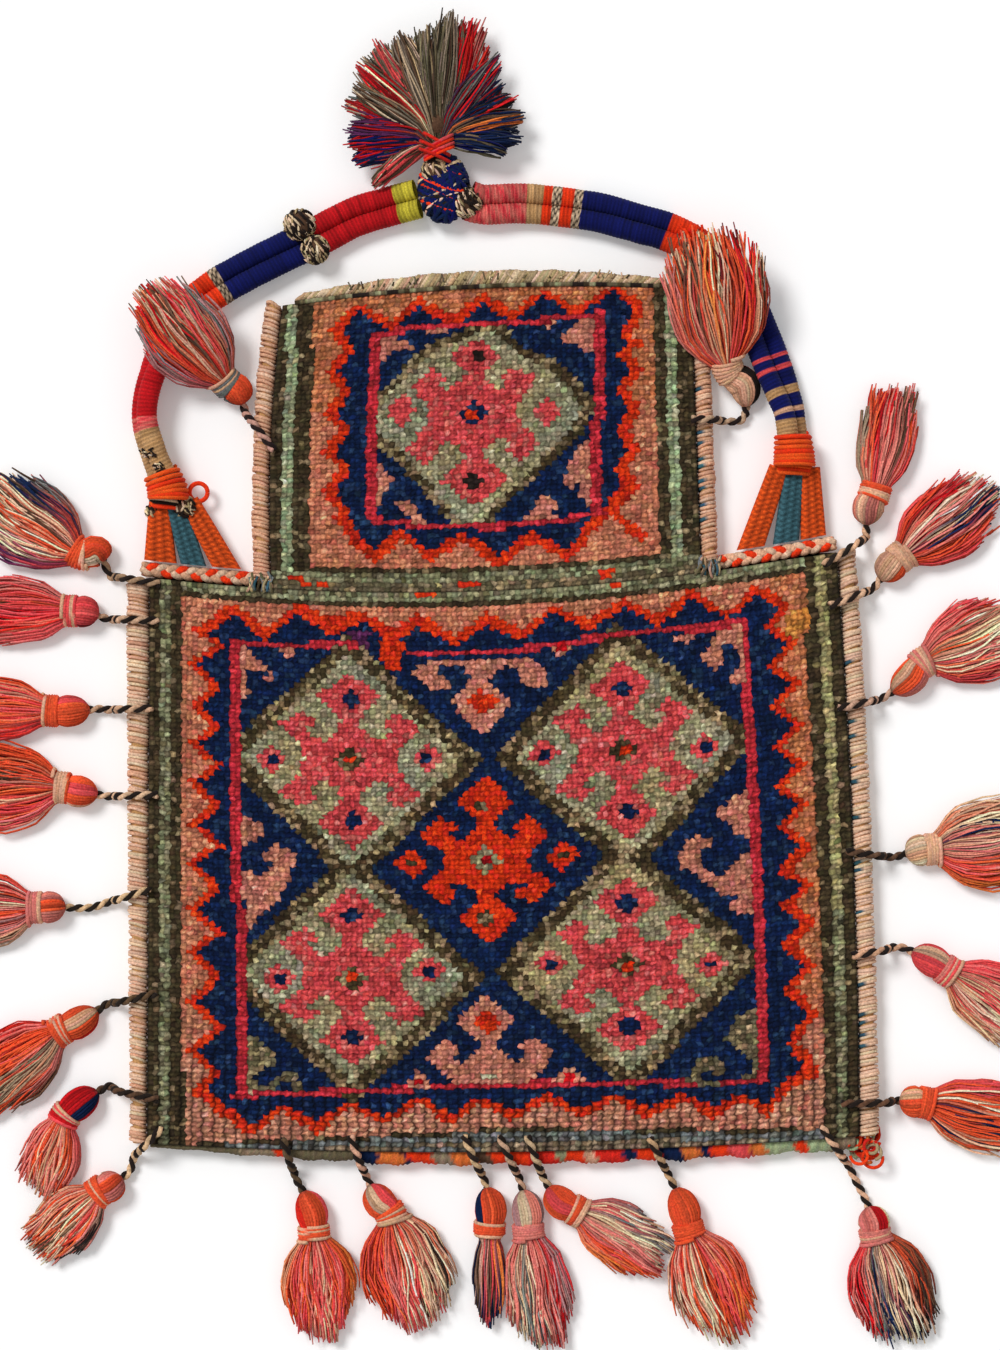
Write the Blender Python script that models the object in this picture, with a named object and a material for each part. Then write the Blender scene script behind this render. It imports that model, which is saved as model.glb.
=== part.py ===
"""Woollen salt bag: a knotted-pile face, a flatwoven back, a roped handle and yarn tassels on plied cords.

Metres, +Z up. The bag lies flat on its back: X runs across it, Y runs up it to the handle, and Z = 0 is
the surface that it lies on. The face is drawn in knots, counted from the lower left corner of the pile.
"""

import math

import bmesh
import bpy
from mathutils import Vector

MM = 0.001
CLEARANCE = 0.0003  # between pieces that touch

# The body of the bag, measured along the pile inside its side bindings
BODY_CORNER = Vector((-0.1881, -0.2577))  # its lower left corner
BODY_BOTTOM_WIDTH = 0.3910
BODY_TOP_WIDTH = 0.3720
BODY_LEFT_HEIGHT = 0.3110
BODY_BOTTOM_RISE = 0.0040  # the lower right corner lies this much higher than the lower left one
BODY_TOP_RISE = 0.0140
BODY_LEFT_LEAN = 0.0015
SEAM_SAG = 0.0143  # how far the shoulder line hangs down at its middle
BOTTOM_SAG = 0.0065
BODY_RIGHT_BULGE = 0.0038

# The neck stands on the shoulder line, between these shares of it
NECK_START = 0.180
NECK_END = 0.814
NECK_TOP_WIDTH = 0.2240
NECK_HEIGHT = 0.1555
NECK_LEFT_LEAN = 0.0060
NECK_TOP_RISE = 0.0094
MOUTH_CROWN = 0.0055
NECK_LEFT_BULGE = 0.0035

# Cloth thicknesses, from the floor up
BACK_THICKNESS = 0.0030
INSIDE_GAP = 0.0060
FACE_THICKNESS = 0.0060
FIELD_STEP = 0.0004  # each field of colour stands this much above the one it lies in
FOLD_DEPTH_LEFT = 0.0020  # the back's folded edge shows below the face, wider to the right
FOLD_DEPTH_RIGHT = 0.0075
FOLD_SPREAD = 0.35  # the share of the foot that the fold takes to reach its full width
FOLD_HEIGHT = 0.0120

# Edge finishes
BINDING_WIDTH = 0.0145
BINDING_HEIGHT = 0.0145
NECK_BINDING_WIDTH = 0.0095
NECK_BINDING_FOOT = 0.0030  # room between a neck binding's lower end and the shoulder line
BINDING_SWELL = 0.05  # the wrapping bulges by this share between its tight turns
BRAID_WIDTH = 0.0085
BRAID_HEIGHT = 0.0120
BRAID_TWISTS = 3.0
HEM_DEPTH = 0.0090
HEM_THICKNESS = 0.0050

# Handle
ROPE_RADIUS = 0.0058
LEG_THICKNESS = 0.0080
LEFT_LEG_RISE = 0.0460  # from the shoulder to where the three legs are bound together
LEFT_LEG_LEAN = -0.0139
RIGHT_LEG_RISE = 0.0526
RIGHT_LEG_LEAN = 0.0056
COLLAR_WIDTH = 0.0210
COLLAR_HEIGHT = 0.0150
KNOT_WIDTH = 0.0290
KNOT_LENGTH = 0.0390
KNOT_HEIGHT = 0.0190
HANDLE_RISE = 0.0560  # from the mouth of the bag to the middle of the knot
KNOT_SHARE = 0.395  # the knot stands over this share of the mouth's width

# Tassels, as they lie
CORD_DIAMETER = 0.0050
HEAD_WIDTH = 0.0185
HEAD_THICKNESS = 0.0140
WAIST_WIDTH = 0.0160
WAIST_THICKNESS = 0.0130
SKIRT_THICKNESS = 0.0120
CROWN_LENGTH = 0.0760
CROWN_WIDTH = 0.0920
CROWN_THICKNESS = 0.0230
LOCK_DEPTH = 0.16  # how deep the grooves between the locks of a skirt are, as a share of its radius

# The pattern's grid of knots
BODY_KNOTS = (64, 115)
NECK_KNOTS = (38, 62)

ROPE_SIDES = 12
TASSEL_SIDES = 12
CROWN_SIDES = 22

FACE_BASE = BACK_THICKNESS + INSIDE_GAP
FACE_TOP = FACE_BASE + FACE_THICKNESS

COLOURS = {
    "peach": (0.60, 0.30, 0.19),
    "olive": (0.055, 0.043, 0.022),
    "sage": (0.30, 0.29, 0.17),
    "orange": (0.72, 0.08, 0.015),
    "navy": (0.010, 0.020, 0.075),
    "rose": (0.62, 0.07, 0.075),
    "beige": (0.58, 0.42, 0.29),
    "red": (0.45, 0.005, 0.012),
    "black": (0.03, 0.022, 0.018),
}

# Each cord and its tassel: name, edge that the cord leaves, share along that edge, where the cord starts
# (how far inside the edge, and how far along it), the places that it passes on the floor, the tassel's
# waist, the end of its skirt, and the skirt's half widths at its middle and end. All in millimetres from
# the edge, to the right and up; the third number of a place is its height.
HANGINGS = [
    ("left_1", "left", 0.989, (5.5, 0), [(-22.5, 4.5, 3.3), (-25, 9, 3.1), (-26.5, 13.5, 4.4)],
     (-39.5, 17), (-87, 48), (11.5, 21)),
    ("left_2", "left", 0.924, (5.5, 0), [(-24, 1, 3.2), (-29.5, 3, 4.4)],
     (-44.5, 5.5), (-104.5, 5), (11, 17)),
    ("left_3", "left", 0.768, (1, 0.5), [(-23, -0.5, 3.2), (-28, 0, 3), (-34, -0.5, 4.4)],
     (-55.5, -1), (-116, 2), (9.5, 16.5)),
    ("left_4", "left", 0.616, (5, 0.5), [(-23.5, -1, 3.2), (-29.5, 0, 4.4)],
     (-49, 4), (-110.5, 5), (12, 22)),
    ("left_5", "left", 0.451, (1.5, 0),
     [(-25.5, -9, 3), (-31.5, -11, 2.9), (-38.5, -11.5, 3), (-47, -11, 4.4)],
     (-63, -11), (-122.5, -14.5), (10, 20)),
    ("left_6", "left", 0.264, (5, 1), [(-24, -6.5, 3.2), (-29, -10, 4.4)],
     (-49.5, -21), (-96, -56), (10, 19)),
    ("left_7", "left", 0.083, (6, -1), [(-23, 4.5, 3.2), (-28.5, 1.5, 4.4)],
     (-46.5, -12.5), (-60, -50), (9.5, 14)),
    ("left_8", "corner", 0.0, (8, 5), [(-10.5, -16.5, 3.5), (-15, -20, 4.5)],
     (-27.5, -27.5), (-59, -57), (9.5, 15.5)),
    ("right_1", "right", 0.967, (3.5, 3.5), [(21.5, 19, 3.3), (21.5, 26.5, 4.4)],
     (26, 44), (38, 97), (9.5, 14.5)),
    ("right_2", "right", 0.907, (1.5, 0.5), [(23.5, 10, 3.4), (27.5, 15.5, 4.4)],
     (39, 28), (83, 62), (10.5, 19)),
    ("right_3", "right", 0.735, (1.5, -0.5), [(23.5, 4.5, 3.2), (29.5, 8.5, 4.4)],
     (47, 25), (98, 45), (12, 21)),
    ("right_4", "right", 0.486, (2.5, 1), [(23.5, -3, 3.2), (27.5, -2.5, 3), (32, -1, 4.4)],
     (46, 1.5), (106.5, 7.5), (12, 23)),
    ("right_5", "right", 0.314, (1.5, -1), [(23.5, 2.5, 3.2), (28, 2, 3), (33, 0, 4.4)],
     (53, -11), (101, -41), (10.5, 18.5)),
    ("right_6", "right", 0.058, (9.5, 0), [(24, 0, 4.4)],
     (38, -1), (92.5, -14), (10, 17.5)),
    ("bottom_1", "bottom", 0.194, (7, -1), [(5.5, -17.5, 3.4), (9.5, -24.5, 4.4)],
     (15.5, -47), (20.5, -97.5), (10.5, 18.5)),
    ("bottom_2", "bottom", 0.290, (9, -1.5), [(7, -16, 3.5), (9, -20, 4.4)],
     (20.5, -36), (36, -89), (12, 18.5)),
    ("bottom_3", "bottom", 0.449, (9.5, -1.5), [(9.5, -16, 3.6), (11, -21, 4.5)],
     (12.5, -43.5), (12.5, -90.5), (6.5, 8.5)),
    ("bottom_4", "bottom", 0.499, (9.5, -1.5), [(9.5, -16, 3.6), (11.5, -22.5, 4.5)],
     (14.5, -45), (23.5, -99.5), (9.5, 17)),
    ("bottom_5", "bottom", 0.537, (9, -1), [(8, -16, 3.6), (11, -21, 4.5)],
     (27, -34), (69, -58), (9, 16)),
    ("bottom_6", "bottom", 0.714, (6, -3), [(8.5, -17.5, 3.6), (11.5, -23.5, 4.5)],
     (19, -46.5), (40, -99.5), (11, 20)),
    ("bottom_7", "bottom", 0.955, (7.5, -3.5),
     [(13.5, -17, 3.4), (17, -24.5, 2.9), (21, -32, 3), (24, -39, 4.5)],
     (27.5, -54), (43.5, -106), (11, 21)),
    ("neck_left", "neck_left", 0.488, (2, 0), [(-14.5, 21, 4.2), (-16, 26.5, 4.5)],
     (-25.5, 38.5), (-62, 81), (15, 21)),
    ("neck_right", "neck_right", 0.516, (2, 3.5), [(24.5, 3.4, 3.2), (28, 7.2, 3.4), (28.5, 11.5, 4.4)],
     (17.4, 33.0), (5.5, 99.5), (14.5, 26)),
]
# Heights of the middle of a tassel at its waist, halfway down its skirt and at its end, in millimetres,
# for the two that lie over the handle. The others lie on the floor.
LIFTED = {"neck_left": (9, 24, 28), "neck_right": (11.5, 27, 29)}

# The handle's two halves between the collar and the knot: share of the straight way from collar to
# knot, distance to the side as a share of it, and the roll of the pair of ropes in degrees.
LEFT_ROUTE = [
    (0.046, 0.085, 68), (0.093, 0.158, 70), (0.145, 0.2, 70), (0.205, 0.228, 68), (0.27, 0.248, 50),
    (0.345, 0.262, 32), (0.421, 0.262, 20), (0.489, 0.246, 12), (0.573, 0.216, 8), (0.664, 0.178, 4),
    (0.758, 0.137, 0), (0.855, 0.097, 0), (0.935, 0.047, 0),
]
RIGHT_ROUTE = [
    (0.067, -0.07, 55), (0.119, -0.106, 40), (0.171, -0.138, 26), (0.229, -0.173, 20),
    (0.306, -0.217, 30), (0.384, -0.25, 36), (0.477, -0.257, 24), (0.568, -0.241, 12),
    (0.648, -0.21, 10), (0.735, -0.173, 6), (0.82, -0.125, 0), (0.9, -0.072, 0),
]
LEFT_END_ANGLE = 193  # the way that each half leaves the knot, in degrees from +X
RIGHT_END_ANGLE = -15
CROWN_ANGLE = 118

# The three legs of each half: share of the shoulder braid that each foot stands on, the foot's width and
# the place of its top beside the collar, in millimetres
LEFT_LEGS = [(0.16, 18.0, -5.0), (0.46, 14.0, 3.5), (0.76, 16.0, 11.5)]
RIGHT_LEGS = [(0.18, 14.0, 9.0), (0.42, 14.5, 0.5), (0.73, 15.5, -8.0)]
LEG_TOP_WIDTH = 0.0110
LEG_HEIGHTS = (0.0070, 0.0085)  # middle of the leg at its foot and at the collar


def material(name):
    """Plain wool in one of the yarn colours."""
    found = bpy.data.materials.get(name)
    if found:
        return found
    made = bpy.data.materials.new(name)
    made.use_nodes = True
    shader = made.node_tree.nodes["Principled BSDF"]
    shader.inputs["Base Color"].default_value = (*COLOURS[name], 1.0)
    shader.inputs["Roughness"].default_value = 0.95
    shader.inputs["Metallic"].default_value = 0.0
    made.diffuse_color = (*COLOURS[name], 1.0)
    return made


def collection(name):
    made = bpy.data.collections.new(name)
    bpy.context.scene.collection.children.link(made)
    return made


def bowed(start, end, bow, share):
    """A point on the way from start to end, pushed by bow at the middle and by nothing at the ends."""
    return start.lerp(end, share) + Vector(bow) * 4 * share * (1 - share)


class Patch:
    """A piece of cloth between four curved edges, with u from 0 at its left to 1 and v from 0 at its foot."""

    def __init__(self, bottom, top, left, right, knots):
        self.bottom, self.top, self.left, self.right = bottom, top, left, right
        self.knots = knots

    def at(self, u, v):
        across = self.bottom(u) * (1 - v) + self.top(u) * v
        along = self.left(v) * (1 - u) + self.right(v) * u
        corners = (self.bottom(0) * (1 - u) + self.bottom(1) * u) * (1 - v)
        corners += (self.top(0) * (1 - u) + self.top(1) * u) * v
        return across + along - corners

    def knot(self, column, row):
        return self.at(column / self.knots[0], row / self.knots[1])


def body_patch():
    low_left = BODY_CORNER
    low_right = low_left + Vector((BODY_BOTTOM_WIDTH, BODY_BOTTOM_RISE))
    top_left = low_left + Vector((BODY_LEFT_LEAN, BODY_LEFT_HEIGHT))
    top_right = top_left + Vector((BODY_TOP_WIDTH, BODY_TOP_RISE))
    return Patch(
        lambda t: bowed(low_left, low_right, (0, -BOTTOM_SAG), t),
        lambda t: bowed(top_left, top_right, (0, -SEAM_SAG), t),
        lambda t: bowed(low_left, top_left, (0, 0), t),
        lambda t: bowed(low_right, top_right, (BODY_RIGHT_BULGE, 0), t),
        BODY_KNOTS,
    )


def neck_patch(body):
    low_left, low_right = body.top(NECK_START), body.top(NECK_END)
    top_left = low_left + Vector((NECK_LEFT_LEAN, NECK_HEIGHT))
    top_right = top_left + Vector((NECK_TOP_WIDTH, NECK_TOP_RISE))
    return Patch(
        lambda t: body.top(NECK_START + (NECK_END - NECK_START) * t),
        lambda t: bowed(top_left, top_right, (0, MOUTH_CROWN), t),
        lambda t: bowed(low_left, top_left, (-NECK_LEFT_BULGE, 0), t),
        lambda t: bowed(low_right, top_right, (0, 0), t),
        NECK_KNOTS,
    )


BODY = body_patch()
NECK = neck_patch(BODY)


def steps(count, start=0.0, end=1.0):
    return [start + (end - start) * i / count for i in range(count + 1)]


def smooth(points, share):
    """A point on the smooth curve through these points, at a share of the way."""
    place = share * (len(points) - 1)
    i = min(int(place), len(points) - 2)
    t = place - i
    before = points[i - 1] if i else points[0] * 2 - points[1]
    after = points[i + 2] if i + 2 < len(points) else points[-1] * 2 - points[-2]
    a, b = points[i], points[i + 1]
    return 0.5 * (
        2 * a + (b - before) * t + (2 * before - 5 * a + 4 * b - after) * t**2
        + (3 * a - before - 3 * b + after) * t**3
    )


def mesh_object(name, shape, colour, home):
    """An object from a bmesh, which is closed and turned to face out."""
    bmesh.ops.recalc_face_normals(shape, faces=shape.faces)
    mesh = bpy.data.meshes.new(name)
    shape.to_mesh(mesh)
    shape.free()
    mesh.materials.append(material(colour))
    made = bpy.data.objects.new(name, mesh)
    home.objects.link(made)
    return made


def loft(name, stations, colour, home):
    """A closed skin over rings of points, each ring as long as the next."""
    shape = bmesh.new()
    rings = [[shape.verts.new(point) for point in ring] for ring in stations]
    for low, high in zip(rings, rings[1:]):
        for i in range(len(low)):
            j = (i + 1) % len(low)
            shape.faces.new((low[i], low[j], high[j], high[i]))
    shape.faces.new(rings[0])
    shape.faces.new(rings[-1])
    made = mesh_object(name, shape, colour, home)
    made.data.shade_smooth()
    made.data.set_sharp_from_angle(angle=math.radians(50))
    return made


def across(path, i):
    """The level sideways direction and the upward one, at point i of a path."""
    way = path[min(i + 1, len(path) - 1)] - path[max(i - 1, 0)]
    side = way.cross(Vector((0, 0, 1))).normalized()
    return side, side.cross(way).normalized()


def ring(middle, side, up, half_width, half_height, sides, groove=0.0, power=2.0, turn=0.0):
    """Points round an oval; groove sinks every second one, and a power over 2 squares the oval off."""
    points = []
    for k in range(sides):
        angle = 2 * math.pi * k / sides + turn
        c, s = math.cos(angle), math.sin(angle)
        reach = 1 / (abs(c) ** power + abs(s) ** power) ** (1 / power)
        reach *= 1 - groove * (k % 2)
        points.append(middle + side * half_width * c * reach + up * half_height * s * reach)
    return points


def slab(name, outline, low, high, colour, home):
    """A flat piece of cloth: a filled outline with its thickness."""
    curve = bpy.data.curves.new(name, "CURVE")
    curve.dimensions = "2D"
    curve.fill_mode = "BOTH"
    curve.extrude = (high - low) / 2
    spline = curve.splines.new("POLY")
    spline.points.add(len(outline) - 1)
    for point, place in zip(spline.points, outline):
        point.co = (place.x, place.y, 0, 1)
    spline.use_cyclic_u = True
    drawn = bpy.data.objects.new(name + "_outline", curve)
    drawn.location.z = (low + high) / 2
    home.objects.link(drawn)
    bpy.context.view_layer.update()
    mesh = bpy.data.meshes.new_from_object(drawn.evaluated_get(bpy.context.evaluated_depsgraph_get()))
    shape = bmesh.new()
    shape.from_mesh(mesh)
    bmesh.ops.remove_doubles(shape, verts=shape.verts, dist=1e-6)
    made = mesh_object(name, shape, colour, home)
    made.matrix_world = drawn.matrix_world
    bpy.data.objects.remove(drawn)
    bpy.data.curves.remove(curve)
    return made


def unite(target, pieces):
    """Joins the pieces to the target; they stay behind as hidden guides."""
    for piece in pieces:
        step = target.modifiers.new("join_" + piece.name, "BOOLEAN")
        step.operation = "UNION"
        step.solver = "EXACT"
        step.material_mode = "TRANSFER"
        step.object = piece
        piece.hide_render = True
        piece.display_type = "WIRE"


def cloth_outline():
    """The T of the bag's cloth, anticlockwise from its lower left corner."""
    points = [BODY.bottom(t) for t in steps(8)]
    points += [BODY.right(t) for t in steps(6)[1:]]
    points += [BODY.top(t) for t in steps(2, 1.0, NECK_END)[1:]]
    points += [NECK.right(t) for t in steps(3)[1:]]
    points += [NECK.top(t) for t in steps(6, 1.0, 0.0)[1:]]
    points += [NECK.left(t) for t in steps(4, 1.0, 0.0)[1:]]
    points += [BODY.top(t) for t in steps(2, NECK_START, 0.0)[1:]]
    points += [BODY.left(t) for t in steps(2, 1.0, 0.0)[1:-1]]
    return points


def mapped(patch, corners, longest=22.0):
    """The outline of a field given in knots, with long sides divided so that they follow the cloth."""
    points = []
    for start, end in zip(corners, corners[1:] + corners[:1]):
        parts = max(1, math.ceil(math.hypot(end[0] - start[0], (end[1] - start[1]) / 2) / longest))
        for t in steps(parts)[:-1]:
            column = start[0] + (end[0] - start[0]) * t
            points.append(patch.knot(column, start[1] + (end[1] - start[1]) * t))
    return points


def box(left, bottom, right, top):
    return [(left, bottom), (right, bottom), (right, top), (left, top)]


def diamond(column, row, half_columns, half_rows):
    return [
        (column - half_columns, row), (column, row - half_rows),
        (column + half_columns, row), (column, row + half_rows),
    ]


def sawtooth(edges, depth_columns, depth_rows, teeth_across, teeth_up):
    """A field with toothed sides: edges are the outer tips, and the depths how far the notches go in."""
    left, bottom, right, top = edges
    points = []
    for i in range(teeth_across):
        width = (right - left) / teeth_across
        points += [(left + width * (i + 0.5), bottom), (left + width * (i + 1), bottom + depth_rows)]
    points[-1] = (right - depth_columns, bottom + depth_rows)
    for i in range(teeth_up):
        height = (top - bottom) / teeth_up
        points += [(right, bottom + height * (i + 0.5)), (right - depth_columns, bottom + height * (i + 1))]
    points[-1] = (right - depth_columns, top - depth_rows)
    for i in range(teeth_across):
        width = (right - left) / teeth_across
        points += [(right - width * (i + 0.5), top), (right - width * (i + 1), top - depth_rows)]
    points[-1] = (left + depth_columns, top - depth_rows)
    for i in range(teeth_up):
        height = (top - bottom) / teeth_up
        points += [(left, top - height * (i + 0.5)), (left + depth_columns, top - height * (i + 1))]
    points[-1] = (left + depth_columns, bottom + depth_rows)
    return points


def hooked_cross(column, row, scale=1.0):
    """The rose of a medallion: a standing bar with a diamond at each end and four hooks at its middle."""
    quarter = [
        (0.0, 18.0), (3.0, 12.2), (1.1, 8.6), (1.1, 6.2), (2.3, 4.6), (3.1, 6.2), (2.6, 7.8), (4.4, 10.0),
        (6.1, 6.6), (4.8, 3.2),
    ]
    half = quarter + [(5.4, 0.0)] + [(x, -y) for x, y in reversed(quarter)]
    whole = half + [(-x, y) for x, y in reversed(half[1:-1])]
    return [(column + x * scale, row + y * scale) for x, y in whole]


def hooked_stem(column, row, up):
    """Half a hooked cross that grows from the frame: a foot, a stem with a diamond, and two hooks."""
    half = [
        (0.0, 18.0), (2.8, 13.0), (0.7, 8.6), (2.6, 4.8), (3.6, 5.6), (3.0, 9.4), (5.4, 8.8), (5.0, 4.0),
    ]
    whole = half + [(3.6, 1.5), (-3.6, 1.5)] + [(-x, y) for x, y in reversed(half[1:])]
    return [(column + x, row + (y if up else -y)) for x, y in whole]


def side_hook(column, row, right):
    """The hooked spur that reaches in from the side of the frame."""
    points = [(0.6, 12.0), (3.4, 6.0), (4.6, 0.5), (3.0, 2.4), (2.0, -1.6), (0.6, 1.8)]
    return [(column + (x if right else -x), row + y) for x, y in points]


def corner_hook(column, row, right, up):
    """The small bird-like hook in a corner of the frame."""
    points = [(0.6, 1.3), (4.6, 3.4), (3.2, 6.2), (1.9, 5.0), (1.7, 9.0), (0.6, 10.0)]
    return [(column + (x if right else -x), row + (y if up else -y)) for x, y in points]


MEDALLIONS = [(18.6, 37.6), (43.7, 36.6), (18.6, 80.9), (43.7, 80.2)]  # centres, in knots
HEX_LEFT = 9.9  # the column by the side frame where a medallion's outer tip is cut off
FIELD_ROOT = 12  # a field's solid starts this many steps below the face, so that no two share a base


def face_fields():
    """The face's fields of colour as (patch, colour, level, outline in knots); a level is a step up."""
    fields = []
    for patch, top_band in ((BODY, 4.0), (NECK, 0.0)):
        columns, rows = patch.knots
        foot = 0.5 if patch is BODY else 7.5
        head = rows - (0.5 if patch is NECK else 1.0)
        for near, far, colour, level in ((0.2, 3.4, "olive", 1), (1.2, 2.3, "sage", 2)):
            low, high = foot + level * 0.4, head - level * 0.4
            fields.append((patch, colour, level, box(near, low, far, high)))
            fields.append((patch, colour, level, box(columns - far, low, columns - near, high)))
        if top_band:
            fields.append((patch, "olive", 1, box(3.6, rows - top_band, columns - 3.6, rows - 0.8)))
    fields.append((BODY, "sage", 1, box(3.6, 0.7, BODY_KNOTS[0] - 3.6, 4.4)))
    fields.append((NECK, "sage", 1, box(0.4, 0.4, NECK_KNOTS[0] - 0.4, 5.6)))
    for patch, low, high, teeth in ((BODY, 5.2, 111.0, (10, 13)), (NECK, 6.8, 60.6, (6, 6))):
        columns = patch.knots[0]
        fields.append((patch, "orange", 1, sawtooth((3.6, low, columns - 3.6, high), 1.5, 4.0, *teeth)))
        inner = (4.9, low + 2.8, columns - 4.9, high - 2.6)
        fields.append((patch, "navy", 2, sawtooth(inner, 1.5, 3.6, *teeth)))
    frames = (
        (BODY, (8.2, 12.8, 55.8, 102.4)),
        (NECK, (8.2, 12.4, 29.8, 54.0)),
    )
    for patch, (left, low, right, high) in frames:
        fields.append((patch, "rose", 3, box(left, low, right, high)))
        fields.append((patch, "navy", 4, box(left + 1.1, low + 1.2, right - 1.1, high - 1.2)))
    for patch, centres, half in ((BODY, MEDALLIONS, (8.6, 20.6)), (NECK, [(18.7, 33.4)], (8.9, 18.6))):
        size = half[1] / 20.6
        for column, row in centres:
            columns = 12.0 if patch is BODY else half[0] + 0.8
            fields.append((patch, "olive", 5, hexed(patch, column, row, columns, half[1])))
            fields.append((patch, "sage", 6, hexed(patch, column, row, columns - 2.1, half[1] - 3.4)))
            fields.append((patch, "rose", 7, hooked_cross(column, row, 0.92 * size)))
            for side in (-1, 1):
                place = column + side * 7.2 * size
                fields.append((patch, "rose", 7, diamond(place, row, 1.3, 2.6)))
                fields.append((patch, "navy", 8, diamond(column, row + side * 11.2 * size, 0.8, 1.7)))
            fields.append((patch, "olive", 8, diamond(column, row, 1.3, 2.6)))
    fields.append((BODY, "orange", 5, hooked_cross(30.9, 59.0, 0.95)))
    fields.append((BODY, "sage", 6, diamond(30.9, 59.0, 1.2, 2.4)))
    for side in (-1, 1):
        fields.append((BODY, "orange", 5, diamond(30.9 + side * 7.2, 59.0, 1.3, 2.7)))
    fields.append((BODY, "peach", 5, hooked_stem(31.0, 13.4, True)))
    fields.append((BODY, "orange", 6, diamond(31.0, 26.4, 0.9, 1.9)))
    fields.append((BODY, "peach", 5, hooked_stem(31.0, 101.8, False)))
    fields.append((BODY, "orange", 6, diamond(31.0, 88.8, 0.9, 1.9)))
    fields.append((BODY, "peach", 5, side_hook(8.9, 52.0, True)))
    fields.append((BODY, "peach", 5, side_hook(55.1, 52.0, False)))
    for patch, (left, low, right, high) in frames:
        for column, is_right in ((left + 0.6, True), (right - 0.6, False)):
            colour = "olive" if patch is BODY else "peach"
            fields.append((patch, colour, 5, corner_hook(column, low + 0.4, is_right, True)))
            fields.append((patch, "peach", 5, corner_hook(column, high - 0.4, is_right, False)))
    return fields


def hexed(patch, column, row, half_columns, half_rows):
    """A medallion's diamond, with the two tips by the side frames cut off where they would meet them."""
    left, right = HEX_LEFT, patch.knots[0] - HEX_LEFT
    points = []
    for x, y in diamond(column, row, half_columns, half_rows):
        if left <= x <= right:
            points.append((x, y))
            continue
        stop = left if x < left else right
        gap = half_rows * (1 - abs(stop - column) / half_columns)
        first = gap if x < left else -gap
        points += [(stop, y + first), (stop, y - first)]
    return points


def make_face(home, guides):
    face = slab("front_panel", cloth_outline(), FACE_BASE, FACE_TOP, "peach", home)
    fields = []
    for i, (patch, colour, level, corners) in enumerate(face_fields()):
        low = FACE_TOP - FIELD_STEP * (FIELD_ROOT - level)
        high = FACE_TOP + FIELD_STEP * level
        fields.append(slab(f"field_{i}_{colour}", mapped(patch, corners), low, high, colour, guides))
    unite(face, fields)
    return face


def make_back(home, guides):
    """The flatwoven back, which turns up past the foot of the face in a rounded fold."""
    back = slab("back_panel", cloth_outline(), 0.0, BACK_THICKNESS, "orange", home)
    rings = []
    for t in steps(9, 0.004, 0.996):
        depth = FOLD_DEPTH_LEFT + (FOLD_DEPTH_RIGHT - FOLD_DEPTH_LEFT) * min(1.0, t / FOLD_SPREAD)
        edge = BODY.bottom(t)
        outer, inner = edge.y - CLEARANCE - depth, edge.y - CLEARANCE
        root = edge.y + BACK_THICKNESS
        drop = BACK_THICKNESS * 0.6
        rings.append([
            Vector((edge.x, y, z)) for y, z in (
                (root, drop), (root, 0.4 * drop), (inner - 0.2 * depth, 0.0), (outer, 0.25 * FOLD_HEIGHT),
                (outer, 0.75 * FOLD_HEIGHT), (inner - 0.55 * depth, FOLD_HEIGHT),
                (inner, 0.85 * FOLD_HEIGHT), (inner, BACK_THICKNESS * 0.8),
            )
        ])
    unite(back, [loft("fold", rings, "orange", guides)])
    return back


def bound_edge(name, edge, outward, width, shares, home):
    """An overcast edge: a rounded strip beside the cloth that swells between its tight turns."""
    rings = []
    offset = width / 2 + CLEARANCE
    places = steps(shares[2], shares[0], shares[1])
    for k, t in enumerate(places):
        here = edge(t)
        swell = 1 - BINDING_SWELL * (k % 2)
        way = (edge(min(t + 0.01, 1)) - edge(max(t - 0.01, 0))).normalized()
        side = Vector((way.y, -way.x, 0)) * outward
        middle = Vector((here.x, here.y, BINDING_HEIGHT / 2)) + side * offset
        rings.append(
            ring(middle, side, Vector((0, 0, 1)), width / 2 * swell, BINDING_HEIGHT / 2, 10, power=3.5)
        )
    return loft(name, rings, "beige", home)


def shoulder(side):
    """The line that a shoulder braid follows, from the body's corner to the neck's binding."""
    room = (NECK_BINDING_WIDTH + 4 * CLEARANCE) / BODY_TOP_WIDTH
    if side == "left":
        return lambda t: BODY.top((NECK_START - room) * t - 0.012 * (1 - t))
    return lambda t: BODY.top(1.012 + (NECK_END + room - 1.012) * t)


def braid_point(side, share, rise=0.0):
    """A point above the shoulder line, by the rise and half the braid's width."""
    here = shoulder(side)(share)
    return Vector((here.x, here.y + CLEARANCE + BRAID_WIDTH / 2 + rise, BRAID_HEIGHT / 2 + CLEARANCE))


def make_braid(side, home):
    rings = []
    path = [braid_point(side, t) for t in steps(10)]
    for i, middle in enumerate(path):
        sideways, up = across(path, i)
        turn = 2 * math.pi * BRAID_TWISTS * i / 10 / 4
        rings.append(
            ring(middle, sideways, up, BRAID_WIDTH / 2, BRAID_HEIGHT / 2, 8, groove=0.09, turn=turn)
        )
    return loft("shoulder_braid_" + side, rings, "orange", home)


def make_hem(name, low, high, home):
    """A folded band along the mouth, tapering to its ends."""
    rings = []
    for t in steps(9, 0.04, 0.93):
        edge = NECK.top(t)
        depth = HEM_DEPTH * (0.55 + 0.45 * math.sin(math.pi * min(1.0, t * 1.1)))
        near, far = edge.y + CLEARANCE, edge.y + CLEARANCE + depth
        inset = (high - low) * 0.3
        rings.append([
            Vector((edge.x, y, z)) for y, z in (
                (near, low), (far - inset, low), (far, low + inset), (far, high - inset),
                (far - inset, high), (near, high),
            )
        ])
    return loft(name, rings, "beige", home)


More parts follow.
